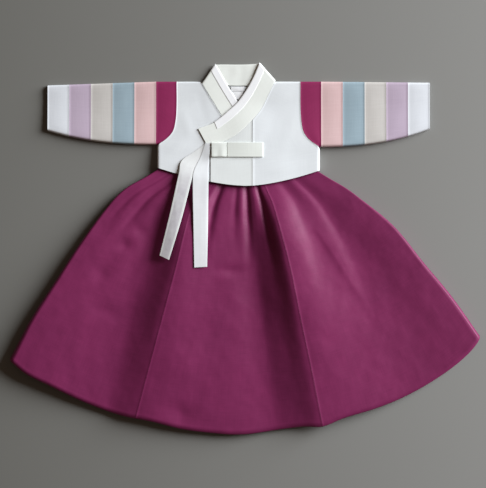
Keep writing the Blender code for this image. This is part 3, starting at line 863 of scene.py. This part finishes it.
        return Sheet(
            "jacket_overlap", surface, steps(wide, 2.4), steps(90, self.cell), (wide, 122), OVERLAP_SILK,
            ("jacket_overlap",), ("jacket_front_right",), area_share=0.72,
        )

    def sew(self) -> None:
        """Makes the body and both sleeves."""
        for sheet in (self.back(), self.right_front(), self.left_front(), self.overlap()):
            sheet.sew()
        for side in (self.form.right, self.form.left):
            Sleeve(self.form, side).sew()


@dataclass
class Collar:
    """The collar band (git), the white strip (dongjeong) on its neck edge, and two blank labels."""

    jacket: JacketForm
    form: CollarForm
    band_wall: float = 0.8
    strip_wall: float = 0.3
    above: float = 0.34
    label_z: float = 4.6
    label_full: float = 0.5
    least_label: float = 10.2
    neck_label: tuple[float, float, float, float] = (-26.0, -1.0, 287.5, 296.4)
    size_tag: tuple[float, float, float, float] = (-24.0, -3.5, 273.0, 287.1)

    def band(
        self, neck: Sequence[tuple[float, float]], seam: Sequence[tuple[float, float]], outer: bool
    ) -> Surface:
        """Gives a folded band's upper face: t along it from its fold, s across it from the neck."""
        form = self.form
        length = (through(neck, 0) - through(neck, 1)).length

        def surface(s: float, t: float) -> Vector:
            x, y = mix(through(neck, t), through(seam, t), s)
            high = self.jacket.swell(x, y) + form.rise + (self.jacket.lift(x, y) if outer else 0)
            z = mix(form.back_z + 0.2, high, turn(t * length / form.fold_radius))
            edge = min(s, 1 - s) * form.width
            return Vector((x, y, z - 0.3 * (1 - turn(edge / 1.2))))

        return surface

    def raised(
        self, surface: Surface, s_range: tuple[float, float], t_range: tuple[float, float]
    ) -> Surface:
        """Gives part of a surface, moved out to lie on it."""

        def strip(s: float, t: float) -> Vector:
            point = surface(mix(*s_range, s), mix(*t_range, t))
            edge = min(s, 1 - s) * self.form.strip_width
            return point + Vector((0, 0, self.above - 0.05 * (1 - turn(edge / 1.6))))

        return strip

    def back_band(self, s: float, t: float) -> Vector:
        """Gives the band behind the neck, whose inner face shows."""
        low = mix(Vector((-77.5, 302.0)), Vector((54.3, 306.5)), s)
        high = mix(Vector((-54.5, 337.0)), Vector((26.8, 339.2)), s)
        dip = 4 * s * (1 - s)
        low.y = mix(low.y, 298.0, dip)
        high.y = mix(high.y, 337.0, dip)
        x, y = mix(low, high, t)
        uneven = 0.35 * noise.noise(Vector((x / 16, y / 22, 7.7)))
        return Vector((x, y, self.form.back_z + uneven - 0.6 * (1 - turn((1 - t) * self.form.width / 1.5))))

    def back_strip(self, s: float, t: float) -> Vector:
        """Gives the strip on the outside of the band behind the neck, which lies on the surface below."""
        point = self.back_band(mix(0.01, 0.99, s), mix(1 - self.form.strip_share, 0.99, t))
        return Vector((point.x, point.y, self.strip_wall))

    def sew(self) -> None:
        """Makes the three stretches of the band, their strips and the labels."""
        form = self.form
        outer = self.band(form.outer_neck, form.outer_seam, outer=True)
        inner = self.band(form.inner_neck, form.inner_seam, outer=False)
        strip_width = form.strip_share * 40
        on_front = ("jacket_front_left", "jacket_overlap", "jacket_front_right")
        across = steps(form.width, 2)
        strip_across = steps(form.strip_width, 1.6)
        outer_strip = self.raised(outer, (-0.015, form.strip_share), (0.0, form.strip_end))
        inner_strip = self.raised(inner, (-0.015, form.strip_share), (0.0, 0.72))
        pieces = (
            Sheet("collar_outer", outer, across, steps(175, 2.2), (40, 175), COLLAR_SILK,
                  ("collar_outer",), on_front, Held.FOLDED, self.band_wall),
            Sheet("collar_inner", inner, across, steps(130, 2.2), (40, 132), COLLAR_SILK,
                  ("collar_inner",), ("jacket_front_right",), Held.FOLDED, self.band_wall),
            Sheet("collar_back", self.back_band, even(48), across, (108, 40), COLLAR_SILK,
                  ("collar_back",), ("collar_strip_back",), Held.FOLDED, 1.0),
            Sheet("collar_strip_outer", outer_strip, strip_across, steps(150, 2.4), (strip_width, 148),
                  STRIP_COTTON, ("collar_strip_outer",), ("collar_outer",), Held.LAID, self.strip_wall),
            Sheet("collar_strip_inner", inner_strip, strip_across, steps(96, 2.4), (strip_width, 96),
                  STRIP_COTTON, ("collar_strip_inner",), ("collar_inner",), Held.LAID, self.strip_wall),
            Sheet("collar_strip_back", self.back_strip, even(30), even(6), (92, strip_width),
                  STRIP_COTTON, ("collar_strip_back",), (), Held.LAID, self.strip_wall),
        )
        for piece in pieces:
            piece.sew()
        for name, label in (("neck_label", self.neck_label), ("size_tag", self.size_tag)):
            self.label(name, *label).sew()

    def label(self, name: str, left: float, right: float, low: float, top: float) -> Sheet:
        """A blank label, sewn along its edges and a little full between them.

        Args:
            name: The piece's name.
            left: Left edge, in plan.
            right: Right edge.
            low: Lower edge.
            top: Upper edge.

        Returns:
            The sheet.
        """

        def surface(s: float, t: float) -> Vector:
            full = self.label_full * math.sin(math.pi * s) * math.sin(math.pi * t)
            return Vector((mix(left, right, s), mix(low, top, t), self.label_z + full))

        size = (right - left, max(top - low, self.least_label))
        return Sheet(
            name, surface, steps(size[0], 1.5), steps(size[1], 1.5), size, LABEL_SATIN, (name,),
            ("jacket_back",), wall=0.5,
        )


# The skirt


class Section(NamedTuple):
    """The skirt's outline at v, from the waist (0) to the hem (1).

    A section runs from its left point to its right one and sags between them. Height is the front's
    mean upper face, folds the share of the folds' full height, and side the radius of its two edges.
    """

    v: float
    left_x: float
    left_y: float
    right_x: float
    right_y: float
    sag: float
    height: float
    folds: float
    side: float


class Fold(NamedTuple):
    """A ridge, or a valley with a height below zero, from share across u_from to u_to as v runs.

    It falls away to its left and right over those shares, and swells to its height over the share
    of its run that grow gives.
    """

    u_from: float
    u_to: float
    v_from: float
    v_to: float
    height: float
    left: float
    right: float
    grow: float

    def rise(self, u: float, v: float) -> float:
        """Gives the fold's height at a point of the skirt."""
        along = (v - self.v_from) / (self.v_to - self.v_from)
        if not 0 <= along <= 1:
            return 0.0
        off = u - mix(self.u_from, self.u_to, along)
        start = smooth(along / self.grow) if self.grow else 1
        return self.height * (1 - along**2) ** 1.5 * start * hump(off, self.left if off < 0 else self.right)


class Dent(NamedTuple):
    """A shallow dent, or a soft swelling where its height is above zero."""

    u: float
    v: float
    u_size: float
    v_size: float
    height: float

    def rise(self, u: float, v: float) -> float:
        """Gives the dent's height at a point of the skirt."""
        return self.height * hump(math.hypot((u - self.u) / self.u_size, (v - self.v) / self.v_size), 1)


@dataclass
class SkirtForm:
    """The skirt's outline, folds and heights."""

    sections: tuple[Section, ...] = (
        Section(0.00, -146, 168, 122, 166, 10, 6.8, 0.20, 5),
        Section(0.06, -155, 149, 127, 147, 20, 9.4, 0.35, 6),
        Section(0.10, -182, 131, 150, 131, 24, 12.6, 0.60, 7),
        Section(0.15, -219, 110, 184, 111, 27, 15.9, 0.85, 8),
        Section(0.20, -245, 86, 209, 93, 32, 17.5, 1.00, 9),
        Section(0.40, -300, 14, 274, 40, 69, 20.3, 1.00, 13),
        Section(0.60, -350, -62, 329, -27, 97, 19.5, 1.00, 16),
        Section(0.80, -394, -130, 382, -91, 130, 18.0, 0.95, 18),
        Section(1.00, -433, -201, 433, -163, 158, 16.2, 0.88, 20),
    )
    left_bow: float = 0.9
    right_bow: float = 0.7
    seams: tuple[tuple[float, float], ...] = ((0.325, 0.268), (0.665, 0.665))
    folds: tuple[Fold, ...] = (
        Fold(0.080, 0.060, 0.00, 0.55, 2.4, 0.025, 0.030, 0.0),
        Fold(0.000, 0.010, 0.10, 2.40, 14.5, 0.100, 0.125, 0.45),
        Fold(0.165, 0.125, 0.00, 0.65, 2.6, 0.030, 0.030, 0.0),
        Fold(0.085, 0.030, 0.03, 0.30, -2.0, 0.012, 0.012, 0.0),
        Fold(0.152, 0.080, 0.03, 0.36, -2.6, 0.012, 0.014, 0.0),
        Fold(0.235, 0.205, 0.00, 0.50, 2.6, 0.022, 0.030, 0.0),
        Fold(0.202, 0.206, 0.08, 1.70, -6.0, 0.080, 0.040, 0.12),
        Fold(0.320, 0.262, 0.00, 1.60, 12.5, 0.044, 0.100, 0.2),
        Fold(0.385, 0.365, 0.00, 0.30, 2.0, 0.018, 0.020, 0.0),
        Fold(0.422, 0.384, 0.00, 0.42, -6.5, 0.020, 0.016, 0.0),
        Fold(0.462, 0.438, 0.00, 0.50, 0.8, 0.020, 0.046, 0.0),
        Fold(0.508, 0.490, 0.00, 0.34, -1.9, 0.016, 0.011, 0.0),
        Fold(0.532, 0.514, 0.00, 0.46, 1.8, 0.016, 0.014, 0.0),
        Fold(0.563, 0.541, 0.00, 0.42, -5.6, 0.014, 0.012, 0.0),
        Fold(0.596, 0.578, 0.00, 0.40, 1.8, 0.012, 0.018, 0.0),
        Fold(0.622, 0.612, 0.00, 0.46, -5.2, 0.011, 0.012, 0.0),
        Fold(0.550, 0.572, 0.14, 1.50, -8.6, 0.060, 0.033, 0.28),
        Fold(0.660, 0.666, 0.00, 1.60, 17.5, 0.041, 0.120, 0.2),
        Fold(0.770, 0.742, 0.00, 0.78, -3.8, 0.030, 0.044, 0.0),
        Fold(0.785, 0.880, 0.22, 0.90, 1.6, 0.014, 0.060, 0.3),
        Fold(0.860, 0.850, 0.00, 0.85, -2.8, 0.022, 0.040, 0.0),
        Fold(0.885, 0.900, 0.10, 1.70, -6.0, 0.120, 0.060, 0.3),
    )
    dents: tuple[Dent, ...] = (
        Dent(0.096, 0.489, 0.022, 0.030, -1.6),
        Dent(0.124, 0.358, 0.022, 0.024, -2.2),
        Dent(0.475, 0.400, 0.045, 0.020, -3.0),
        Dent(0.150, 0.283, 0.022, 0.024, -2.2),
        Dent(0.150, 0.620, 0.040, 0.030, -1.6),
        Dent(0.366, 0.753, 0.050, 0.070, 2.0),
        Dent(0.360, 0.940, 0.030, 0.035, -2.4),
        Dent(0.740, 0.560, 0.050, 0.090, 1.6),
        Dent(0.840, 0.760, 0.060, 0.080, 1.6),
    )
    hem_waves: tuple[tuple[float, float, float], ...] = (
        (0.03, 0.04, -6.0), (0.30, 0.05, 5.0), (0.49, 0.06, -4.0), (0.665, 0.03, -7.0), (0.82, 0.09, -3.0),
    )
    wavers: tuple[tuple[float, float, float], ...] = ((0.9, 75.0, 1.7), (0.5, 26.0, 5.2), (0.16, 10.0, 8.6))
    wave_share: float = 0.25
    hem_stitch: float = 0.5
    hem_stitch_in: float = 0.012
    least_height: float = 3.7
    left_side: float = 0.28
    right_side: float = 0.12
    hem_droop: float = 4.5
    hem_share: float = 0.02
    back_wall: float = 0.8
    back_gathers: int = 12
    back_gather_z: float = 2.0
    back_gather_end: float = 0.35
    back_inset: float = 0.004
    jacket_back_z: float = 1.6

    def section(self, v: float) -> Section:
        """Reads the section at v along smooth curves."""
        rows = self.sections
        i = min(sum(v > row.v for row in rows[1:]), len(rows) - 2)
        a, b = rows[i], rows[i + 1]
        before, after = rows[max(i - 1, 0)], rows[min(i + 2, len(rows) - 1)]
        span = b.v - a.v
        t = (v - a.v) / span
        values = [
            hermite(y, z, (z - w) / (b.v - before.v) * span, (x - y) / (after.v - a.v) * span, t)
            for w, y, z, x in zip(before, a, b, after)
        ]
        return Section(*values)._replace(v=v)

    def plan(self, u: float, row: Section) -> Vector:
        """Gives the place in plan at share u across a section."""
        bow = (4 * u * (1 - u)) ** mix(self.left_bow, self.right_bow, smooth((u - 0.35) / 0.3))
        wave = sum(height * hump(u - middle, width) for middle, width, height in self.hem_waves)
        low = row.sag * bow - wave * smooth((row.v - 1) / self.wave_share + 1)
        return Vector((mix(row.left_x, row.right_x, u), mix(row.left_y, row.right_y, u) - low))

    def back_height(self, u: float, v: float) -> float:
        """Gives the upper face of the back, which lies flat, and over the jacket's back near the waist."""
        over_jacket = self.jacket_back_z * (1 - smooth((v - 0.10) / 0.09))
        gather = self.back_gather_z * math.sin(math.pi * self.back_gathers * u) ** 2
        grown = smooth(v / 0.06) * (1 - smooth(v / self.back_gather_end))
        return self.back_wall + over_jacket + gather * grown

    def front_height(self, u: float, v: float, row: Section) -> float:
        """Gives the upper face of the front."""
        wide = row.right_x - row.left_x
        edge = self.back_height(0, v) + 0.6
        rise = sum(fold.rise(u, v) for fold in self.folds) + sum(dent.rise(u, v) for dent in self.dents)
        place = self.plan(u, row)
        uneven = sum(high * waver(place.x, place.y, width, k) for high, width, k in self.wavers)
        full = row.height + row.folds * (rise + uneven)
        full = max(full, self.back_height(u, v) + self.least_height)
        full = mix(full - self.hem_droop, full, turn((1 - v) / self.hem_share))
        full += self.hem_stitch * hump(1 - v - self.hem_stitch_in, self.hem_stitch_in / 3)
        side = row.side * (self.left_side if u < 0.5 else self.right_side)
        return mix(edge, full, turn(min(u, 1 - u) * wide / side))

    def height_at(self, x: float, y: float) -> float:
        """Gives the front's upper face over a point in plan, found by halving v."""
        low, high, u, v = 0.0, 1.0, 0.0, 0.0
        for _ in range(20):
            v = (low + high) / 2
            row = self.section(v)
            u = clamp((x - row.left_x) / (row.right_x - row.left_x))
            if self.plan(u, row).y > y:
                low = v
            else:
                high = v
        return self.front_height(u, v, self.section(v))


@dataclass
class Skirt:
    """The skirt: three panels in front, three behind, and a waistband that the jacket hides."""

    form: SkirtForm = field(default_factory=SkirtForm)
    length: float = 505.0
    gather_ratio: float = 1.8
    hem_fullness: float = 1.15
    waist: float = 262.0
    waistband: float = 36.0
    shares: tuple[tuple[str, float], ...] = (("right", 0.285), ("centre", 0.42), ("left", 0.35))

    def panel(self, number: int, front: bool) -> Surface:
        """Gives a panel's outer face; t runs from the hem up.

        Args:
            number: 0, 1 or 2, from the wearer's right.
            front: Whether it is a front panel.

        Returns:
            The surface.
        """
        form = self.form
        inset = 0.0 if front else form.back_inset
        rows: dict[float, Section] = {}

        def surface(s: float, t: float) -> Vector:
            v = 1 - t
            row = rows.setdefault(v, form.section(v))
            wide = row.right_x - row.left_x
            gap = SEAM / 2 / wide
            left = mix(*form.seams[number - 1], v) + gap if number > 0 else inset
            right = mix(*form.seams[number], v) - gap if number < 2 else 1 - inset
            u = mix(left, right, s)
            place = form.plan(u, row)
            if not front:
                return Vector((place.x, place.y, form.back_height(u, v)))
            from_seam = min(s if number > 0 else 1, 1 - s if number < 2 else 1) * (right - left) * wide
            return Vector((place.x, place.y, form.front_height(u, v, row) + pressed(from_seam)))

        return surface

    def band(self, low_z: float, top_z: float) -> Surface:
        """Gives the waistband's upper face, above the gathers."""
        top_of_skirt = self.form.section(0)

        def surface(s: float, t: float) -> Vector:
            place = self.form.plan(mix(0.01, 0.99, s), top_of_skirt)
            end = turn(min(s, 1 - s) * self.waist / 3.5)
            z = mix(2.9, mix(low_z, top_z, t), end)
            return Vector((place.x, place.y + SEAM + t * self.waistband, z))

        return surface

    def sew(self) -> None:
        """Makes the six panels and the waistband."""
        hem = self.form.sections[-1].right_x - self.form.sections[-1].left_x
        waist = (self.form.sections[0].right_x - self.form.sections[0].left_x) * self.gather_ratio
        area_share = 0.5 * (1 + waist / hem / self.hem_fullness)
        for number, (name, share) in enumerate(self.shares):
            cut = (hem * self.hem_fullness * share, self.length)
            columns = steps(cut[0], 3.4)
            for layer, front in (("front", True), ("back", False)):
                node = f"skirt_{layer}_{name}"
                under = (f"skirt_back_{name}",) if front else ("jacket_back",)
                mesh = (columns, steps(self.length, 3.6)) if front else (even(56), even(70))
                Sheet(node, self.panel(number, front), *mesh, cut, SKIRT_SILK,
                      (node,), under, Held.GATHERED, area_share=area_share).sew()
        size = (self.waist, self.waistband)
        for name, low_z, top_z, under in (
            ("waistband_back", 2.6, 2.6, "jacket_back"),
            ("waistband_front", 6.8, 4.3, "waistband_back"),
        ):
            Sheet(name, self.band(low_z, top_z), steps(self.waist, 6), even(10), size, BAND_COTTON,
                  (name,), (under,)).sew()


# The ties


@dataclass(eq=False)
class HalfBow:
    """The ties (goreum) in a half bow: a knot, one loop and two tails."""

    jacket: JacketForm
    skirt: SkirtForm
    left_x: float = -61.6
    right_x: float = -34.0
    loop_x: float = 33.0
    top_y: float = 193.0
    low_y: float = 166.5
    ribbon: float = 26.5
    wall: float = 0.5
    tail_wall: float = 0.35
    knot_height: float = 2.6
    loop_radius: float = 0.55
    bend: float = 500.0
    stiffness: float = 0.6
    under: float = 0.4
    clear: float = 0.07
    over_skirt: float = 0.2
    step_x: tuple[float, float] = (-84.0, 18.0)
    step_y: tuple[float, float] = (148.0, 30.0)
    hem_above: float = 48.0
    hem_run: float = 50.0
    crossed_y: tuple[float, float] = (80.0, 40.0)
    cell: float = 9.0
    under_tail: tuple[tuple[tuple[float, float], ...], ...] = (
        ((-74.9, 190.4), (-93.3, 176.6), (-116.7, 159.5), (-122.2, 133.4), (-137.4, 63.5), (-156.6, -14.9)),
        ((-71.2, 184.9), (-81.3, 161.0), (-89.6, 148.1), (-96.4, 129.7), (-115.4, 54.3), (-139.1, -23.0)),
    )
    over_tail: tuple[tuple[tuple[float, float], ...], ...] = (
        ((-73.4, 192.3), (-82.2, 166.5), (-93.3, 142.6), (-96.0, 120.5), (-94.6, 41.4), (-93.1, -36.8)),
        ((-63.0, 191.4), (-66.0, 166.5), (-67.4, 142.6), (-67.2, 120.5), (-67.9, 41.4), (-69.4, -35.5)),
    )

    def on_jacket(self, x: float, y: float) -> float:
        """Gives the jacket's face under the tails, which step up beside the knot to the overlap panel."""
        from_x, run_x = self.step_x
        from_y, run_y = self.step_y
        step = self.jacket.lift(x, y) * smooth((x - from_x) / run_x) * smooth((y - from_y) / run_y)
        return self.jacket.height(x, y) + step

    @functools.cache
    def support(self, x: float, y: float) -> float:
        """Gives the highest cloth under the tails."""
        return self.on_jacket(x, y) if y > self.jacket.hem_y(x) - 2 else self.skirt.height_at(x, y)

    def resting(self, x: float, y: float) -> float:
        """Gives the height at which a ribbon that bends gently lies over what is under it."""
        cell = self.cell
        column, row = math.floor(x / cell), math.floor(y / cell)
        corners = [
            max(
                self.support((i + di) * cell, (j + dj) * cell) - (dj * cell) ** 2 / (2 * self.bend)
                for dj in range(-8, 9)
                for di in (-1, 0, 1)
            )
            for j in (row, row + 1)
            for i in (column, column + 1)
        ]
        across = x / cell - column
        low, high = mix(corners[0], corners[1], across), mix(corners[2], corners[3], across)
        return mix(low, high, y / cell - row)

    def knot(self, s: float, t: float) -> Vector:
        """Gives the wound knot's outer face: s across it, t up its back and down its front."""
        up = up_tube(t)
        x, y = mix(self.left_x, self.right_x, s), mix(self.low_y - 0.4, self.top_y + 0.4, up)
        floor = self.jacket.outer_height(x, y) + self.under
        edge = min(up, 1 - up) * (self.top_y - self.low_y)
        middle = floor + self.knot_height / 2
        if t < 0.5:
            return Vector((x, y, mix(middle, floor, turn(edge / 2.4))))
        crown = 0.5 * math.sin(math.pi * s) + 0.3 * math.sin(3.2 * math.pi * s + 0.6) * (1 - up)
        return Vector((x, y, mix(middle, floor + self.knot_height - 0.4 + crown, turn(edge / 2.4))))

    def loop(self, s: float, t: float) -> Vector:
        """Gives the loop's outer face: a hairpin, out along the lower layer and back along the upper."""
        bend = 0.1
        angle = clamp((s - 0.5 + bend / 2) / bend) * math.pi
        run = clamp(min(s, 1 - s) / (0.5 - bend / 2))
        start, end = self.right_x + SEAM, self.loop_x - self.loop_radius
        x = mix(start, end, run) + self.loop_radius * math.sin(angle)
        y = mix(self.low_y, self.top_y, t)
        up = self.loop_radius * (1 - math.cos(angle))
        bulge = 0.5 * math.sin(math.pi * clamp((1 - s) / 0.45)) if s > 0.55 else 0.0
        return Vector((x, y, self.jacket.outer_height(x, y) + self.under + self.wall / 2 + up + bulge))

    def tail(self, edges: tuple[tuple[tuple[float, float], ...], ...], over: bool) -> Surface:
        """Gives a tail's upper face; t runs up it from its cut end."""
        left, right = edges
        layer = self.tail_wall + self.clear

        @functools.cache
        def ridge(t: float) -> float:
            """Gives the highest rest across the stiff ribbon."""
            a, b = through(left, 1 - t), through(right, 1 - t)
            return max(self.resting(*mix(a, b, s)) for s in even(3))

        def surface(s: float, t: float) -> Vector:
            x, y = mix(through(left, 1 - t), through(right, 1 - t), s)
            edge = min(s, 1 - s) * self.ribbon
            below = smooth((self.jacket.hem_y(x) + self.hem_above - y) / self.hem_run)
            below_z = mix(self.resting(x, y), ridge(t), self.stiffness) + self.over_skirt
            floor = mix(self.on_jacket(x, y), below_z, below)
            crossed = layer * smooth((y - self.crossed_y[0]) / self.crossed_y[1]) if over else 0.0
            return Vector((x, y, floor + layer + crossed - 0.15 * (1 - turn(edge / 1.6))))

        return surface

    def sew(self) -> None:
        """Makes the knot, the loop and the tails."""
        wide = self.right_x - self.left_x
        around = round_tube(steps(self.ribbon, 1.8))
        Sheet("tie_knot", self.knot, steps(wide, 1.8), around, (wide, 60), TIE_SILK, ("tie_knot",),
              ("jacket_overlap",), Held.FOLDED, self.wall).sew()
        out = [0.45 * i / 30 for i in range(30)]
        bend = [0.45 + 0.1 * i / 12 for i in range(13)]
        back = [0.55 + 0.45 * i / 30 for i in range(1, 31)]
        loop = Sheet("tie_loop", self.loop, out + bend + back, steps(self.ribbon, 2), (136, self.ribbon),
                     TIE_SILK, ("tie_loop",), ("jacket_overlap",), Held.FOLDED, self.wall).sew()
        loop.modifiers["wall"].offset = 0
        for name, edges, over, length, silk in (
            ("tie_tail_under", self.under_tail, False, 225, UNDER_TIE_SILK),
            ("tie_tail_over", self.over_tail, True, 238, OVER_TIE_SILK),
        ):
            Sheet(name, self.tail(edges, over), steps(self.ribbon, 2), steps(length, 3.2),
                  (self.ribbon, length), silk, (name,), ("skirt_front_right", "jacket_front_right"),
                  Held.LAID, self.tail_wall).sew()


# The studio


@dataclass
class Studio:
    """A pale floor with the key's falloff painted into its colour, soft light from the upper right, and a
    camera straight above.
    """

    picture_mm: tuple[float, float] = (894.2, 897.9)
    centre: tuple[float, float] = (-3.7, 6.4)
    camera_height: float = 3000.0
    sharp_z: float = 10.0
    sensor: float = 36.0
    key_azimuth: float = 24.0
    key_elevation: float = 21.0
    key_distance: float = 9000.0
    key_size: float = 6400.0
    key_power: float = 2080.0
    fill_strength: float = 0.11
    # The floor's two colours and its fall paint the key's falloff into the board: painted shade to the left
    # and towards the top and bottom, painted light to the right.
    floor_shaded_left: str = "#70706b"
    floor_lit_right: str = "#90908d"
    floor_shade_fall: float = 0.2
    floor_size_m: float = 60.0
    floor_below: float = 0.3
    floor_margin: float = 100.0

    def camera(self) -> None:
        """Sets the camera straight above, with the photograph's framing."""
        data = bpy.data.cameras.new("camera")
        data.sensor_fit = "VERTICAL"
        data.sensor_height = self.sensor
        data.lens = self.sensor * (self.camera_height - self.sharp_z) / self.picture_mm[1]
        data.clip_end = 100
        camera = bpy.data.objects.new("camera", data)
        camera.location = Vector((*self.centre, self.camera_height)) * MM
        bpy.context.scene.collection.objects.link(camera)
        bpy.context.scene.camera = camera

    def key(self) -> None:
        """Hangs the main soft light."""
        light = bpy.data.lights.new("key", "AREA")
        light.shape = "DISK"
        light.size = self.key_size * MM
        light.energy = self.key_power
        light.color = linear("#f8fbff")[:3]
        lamp = bpy.data.objects.new("key", light)
        azimuth, elevation = math.radians(self.key_azimuth), math.radians(self.key_elevation)
        flat = math.cos(elevation)
        towards = Vector((flat * math.cos(azimuth), flat * math.sin(azimuth), math.sin(elevation)))
        lamp.location = towards * self.key_distance * MM
        lamp.rotation_euler = towards.to_track_quat("Z", "Y").to_euler()
        bpy.context.scene.collection.objects.link(lamp)

    def world(self) -> None:
        """Fills the room with even light."""
        world = bpy.data.worlds.new("room")
        world.use_nodes = True
        background = world.node_tree.nodes["Background"]
        background.inputs["Color"].default_value = linear("#ffdcc2")
        background.inputs["Strength"].default_value = self.fill_strength
        bpy.context.scene.world = world

    def floor(self) -> None:
        """Lays the floor just under the cloth. Its colour is painted light falloff: darker to the left and
        towards the top and bottom.
        """
        bpy.ops.mesh.primitive_plane_add(size=self.floor_size_m)
        floor = bpy.context.object
        floor.name = "floor"
        for vertex in floor.data.vertices:
            vertex.co.z = -self.floor_below * MM
        paint = bpy.data.materials.new("floor_painted_light_falloff")
        paint.use_nodes = True
        shader = paint.node_tree.nodes["Principled BSDF"]
        shader.inputs["Roughness"].default_value = 0.9
        tree = paint.node_tree
        place = add_node(tree, "ShaderNodeTexCoord").outputs["Object"]
        apart = add_node(tree, "ShaderNodeSeparateXYZ", {"Vector": place})
        # Painted light falloff: the colour darkens to the left and with distance from the middle row.
        off = add_sum(tree, "ABSOLUTE", apart.outputs["Y"])
        lit = add_sum(tree, "MULTIPLY_ADD", off, -self.floor_shade_fall, apart.outputs["X"])
        half = (self.picture_mm[0] / 2 + self.floor_margin) * MM
        share = add_range(tree, lit, -half, half)
        colour = add_blend(tree, share, linear(self.floor_shaded_left), linear(self.floor_lit_right))
        tree.links.new(colour, shader.inputs["Base Color"])
        floor.data.materials.append(paint)

    def build(self) -> None:
        """Sets up everything that isn't part of the clothes."""
        bpy.context.scene.view_settings.view_transform = "Standard"
        self.camera()
        self.key()
        self.world()
        self.floor()


def main() -> None:
    """Loads the frame and dresses it."""
    logging.basicConfig(level=logging.INFO)
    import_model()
    Studio().build()
    jacket = Jacket()
    skirt = Skirt()
    skirt.sew()
    jacket.sew()
    Collar(jacket.form, jacket.collar).sew()
    HalfBow(jacket.form, skirt.form).sew()


if __name__ == "__main__":
    main()
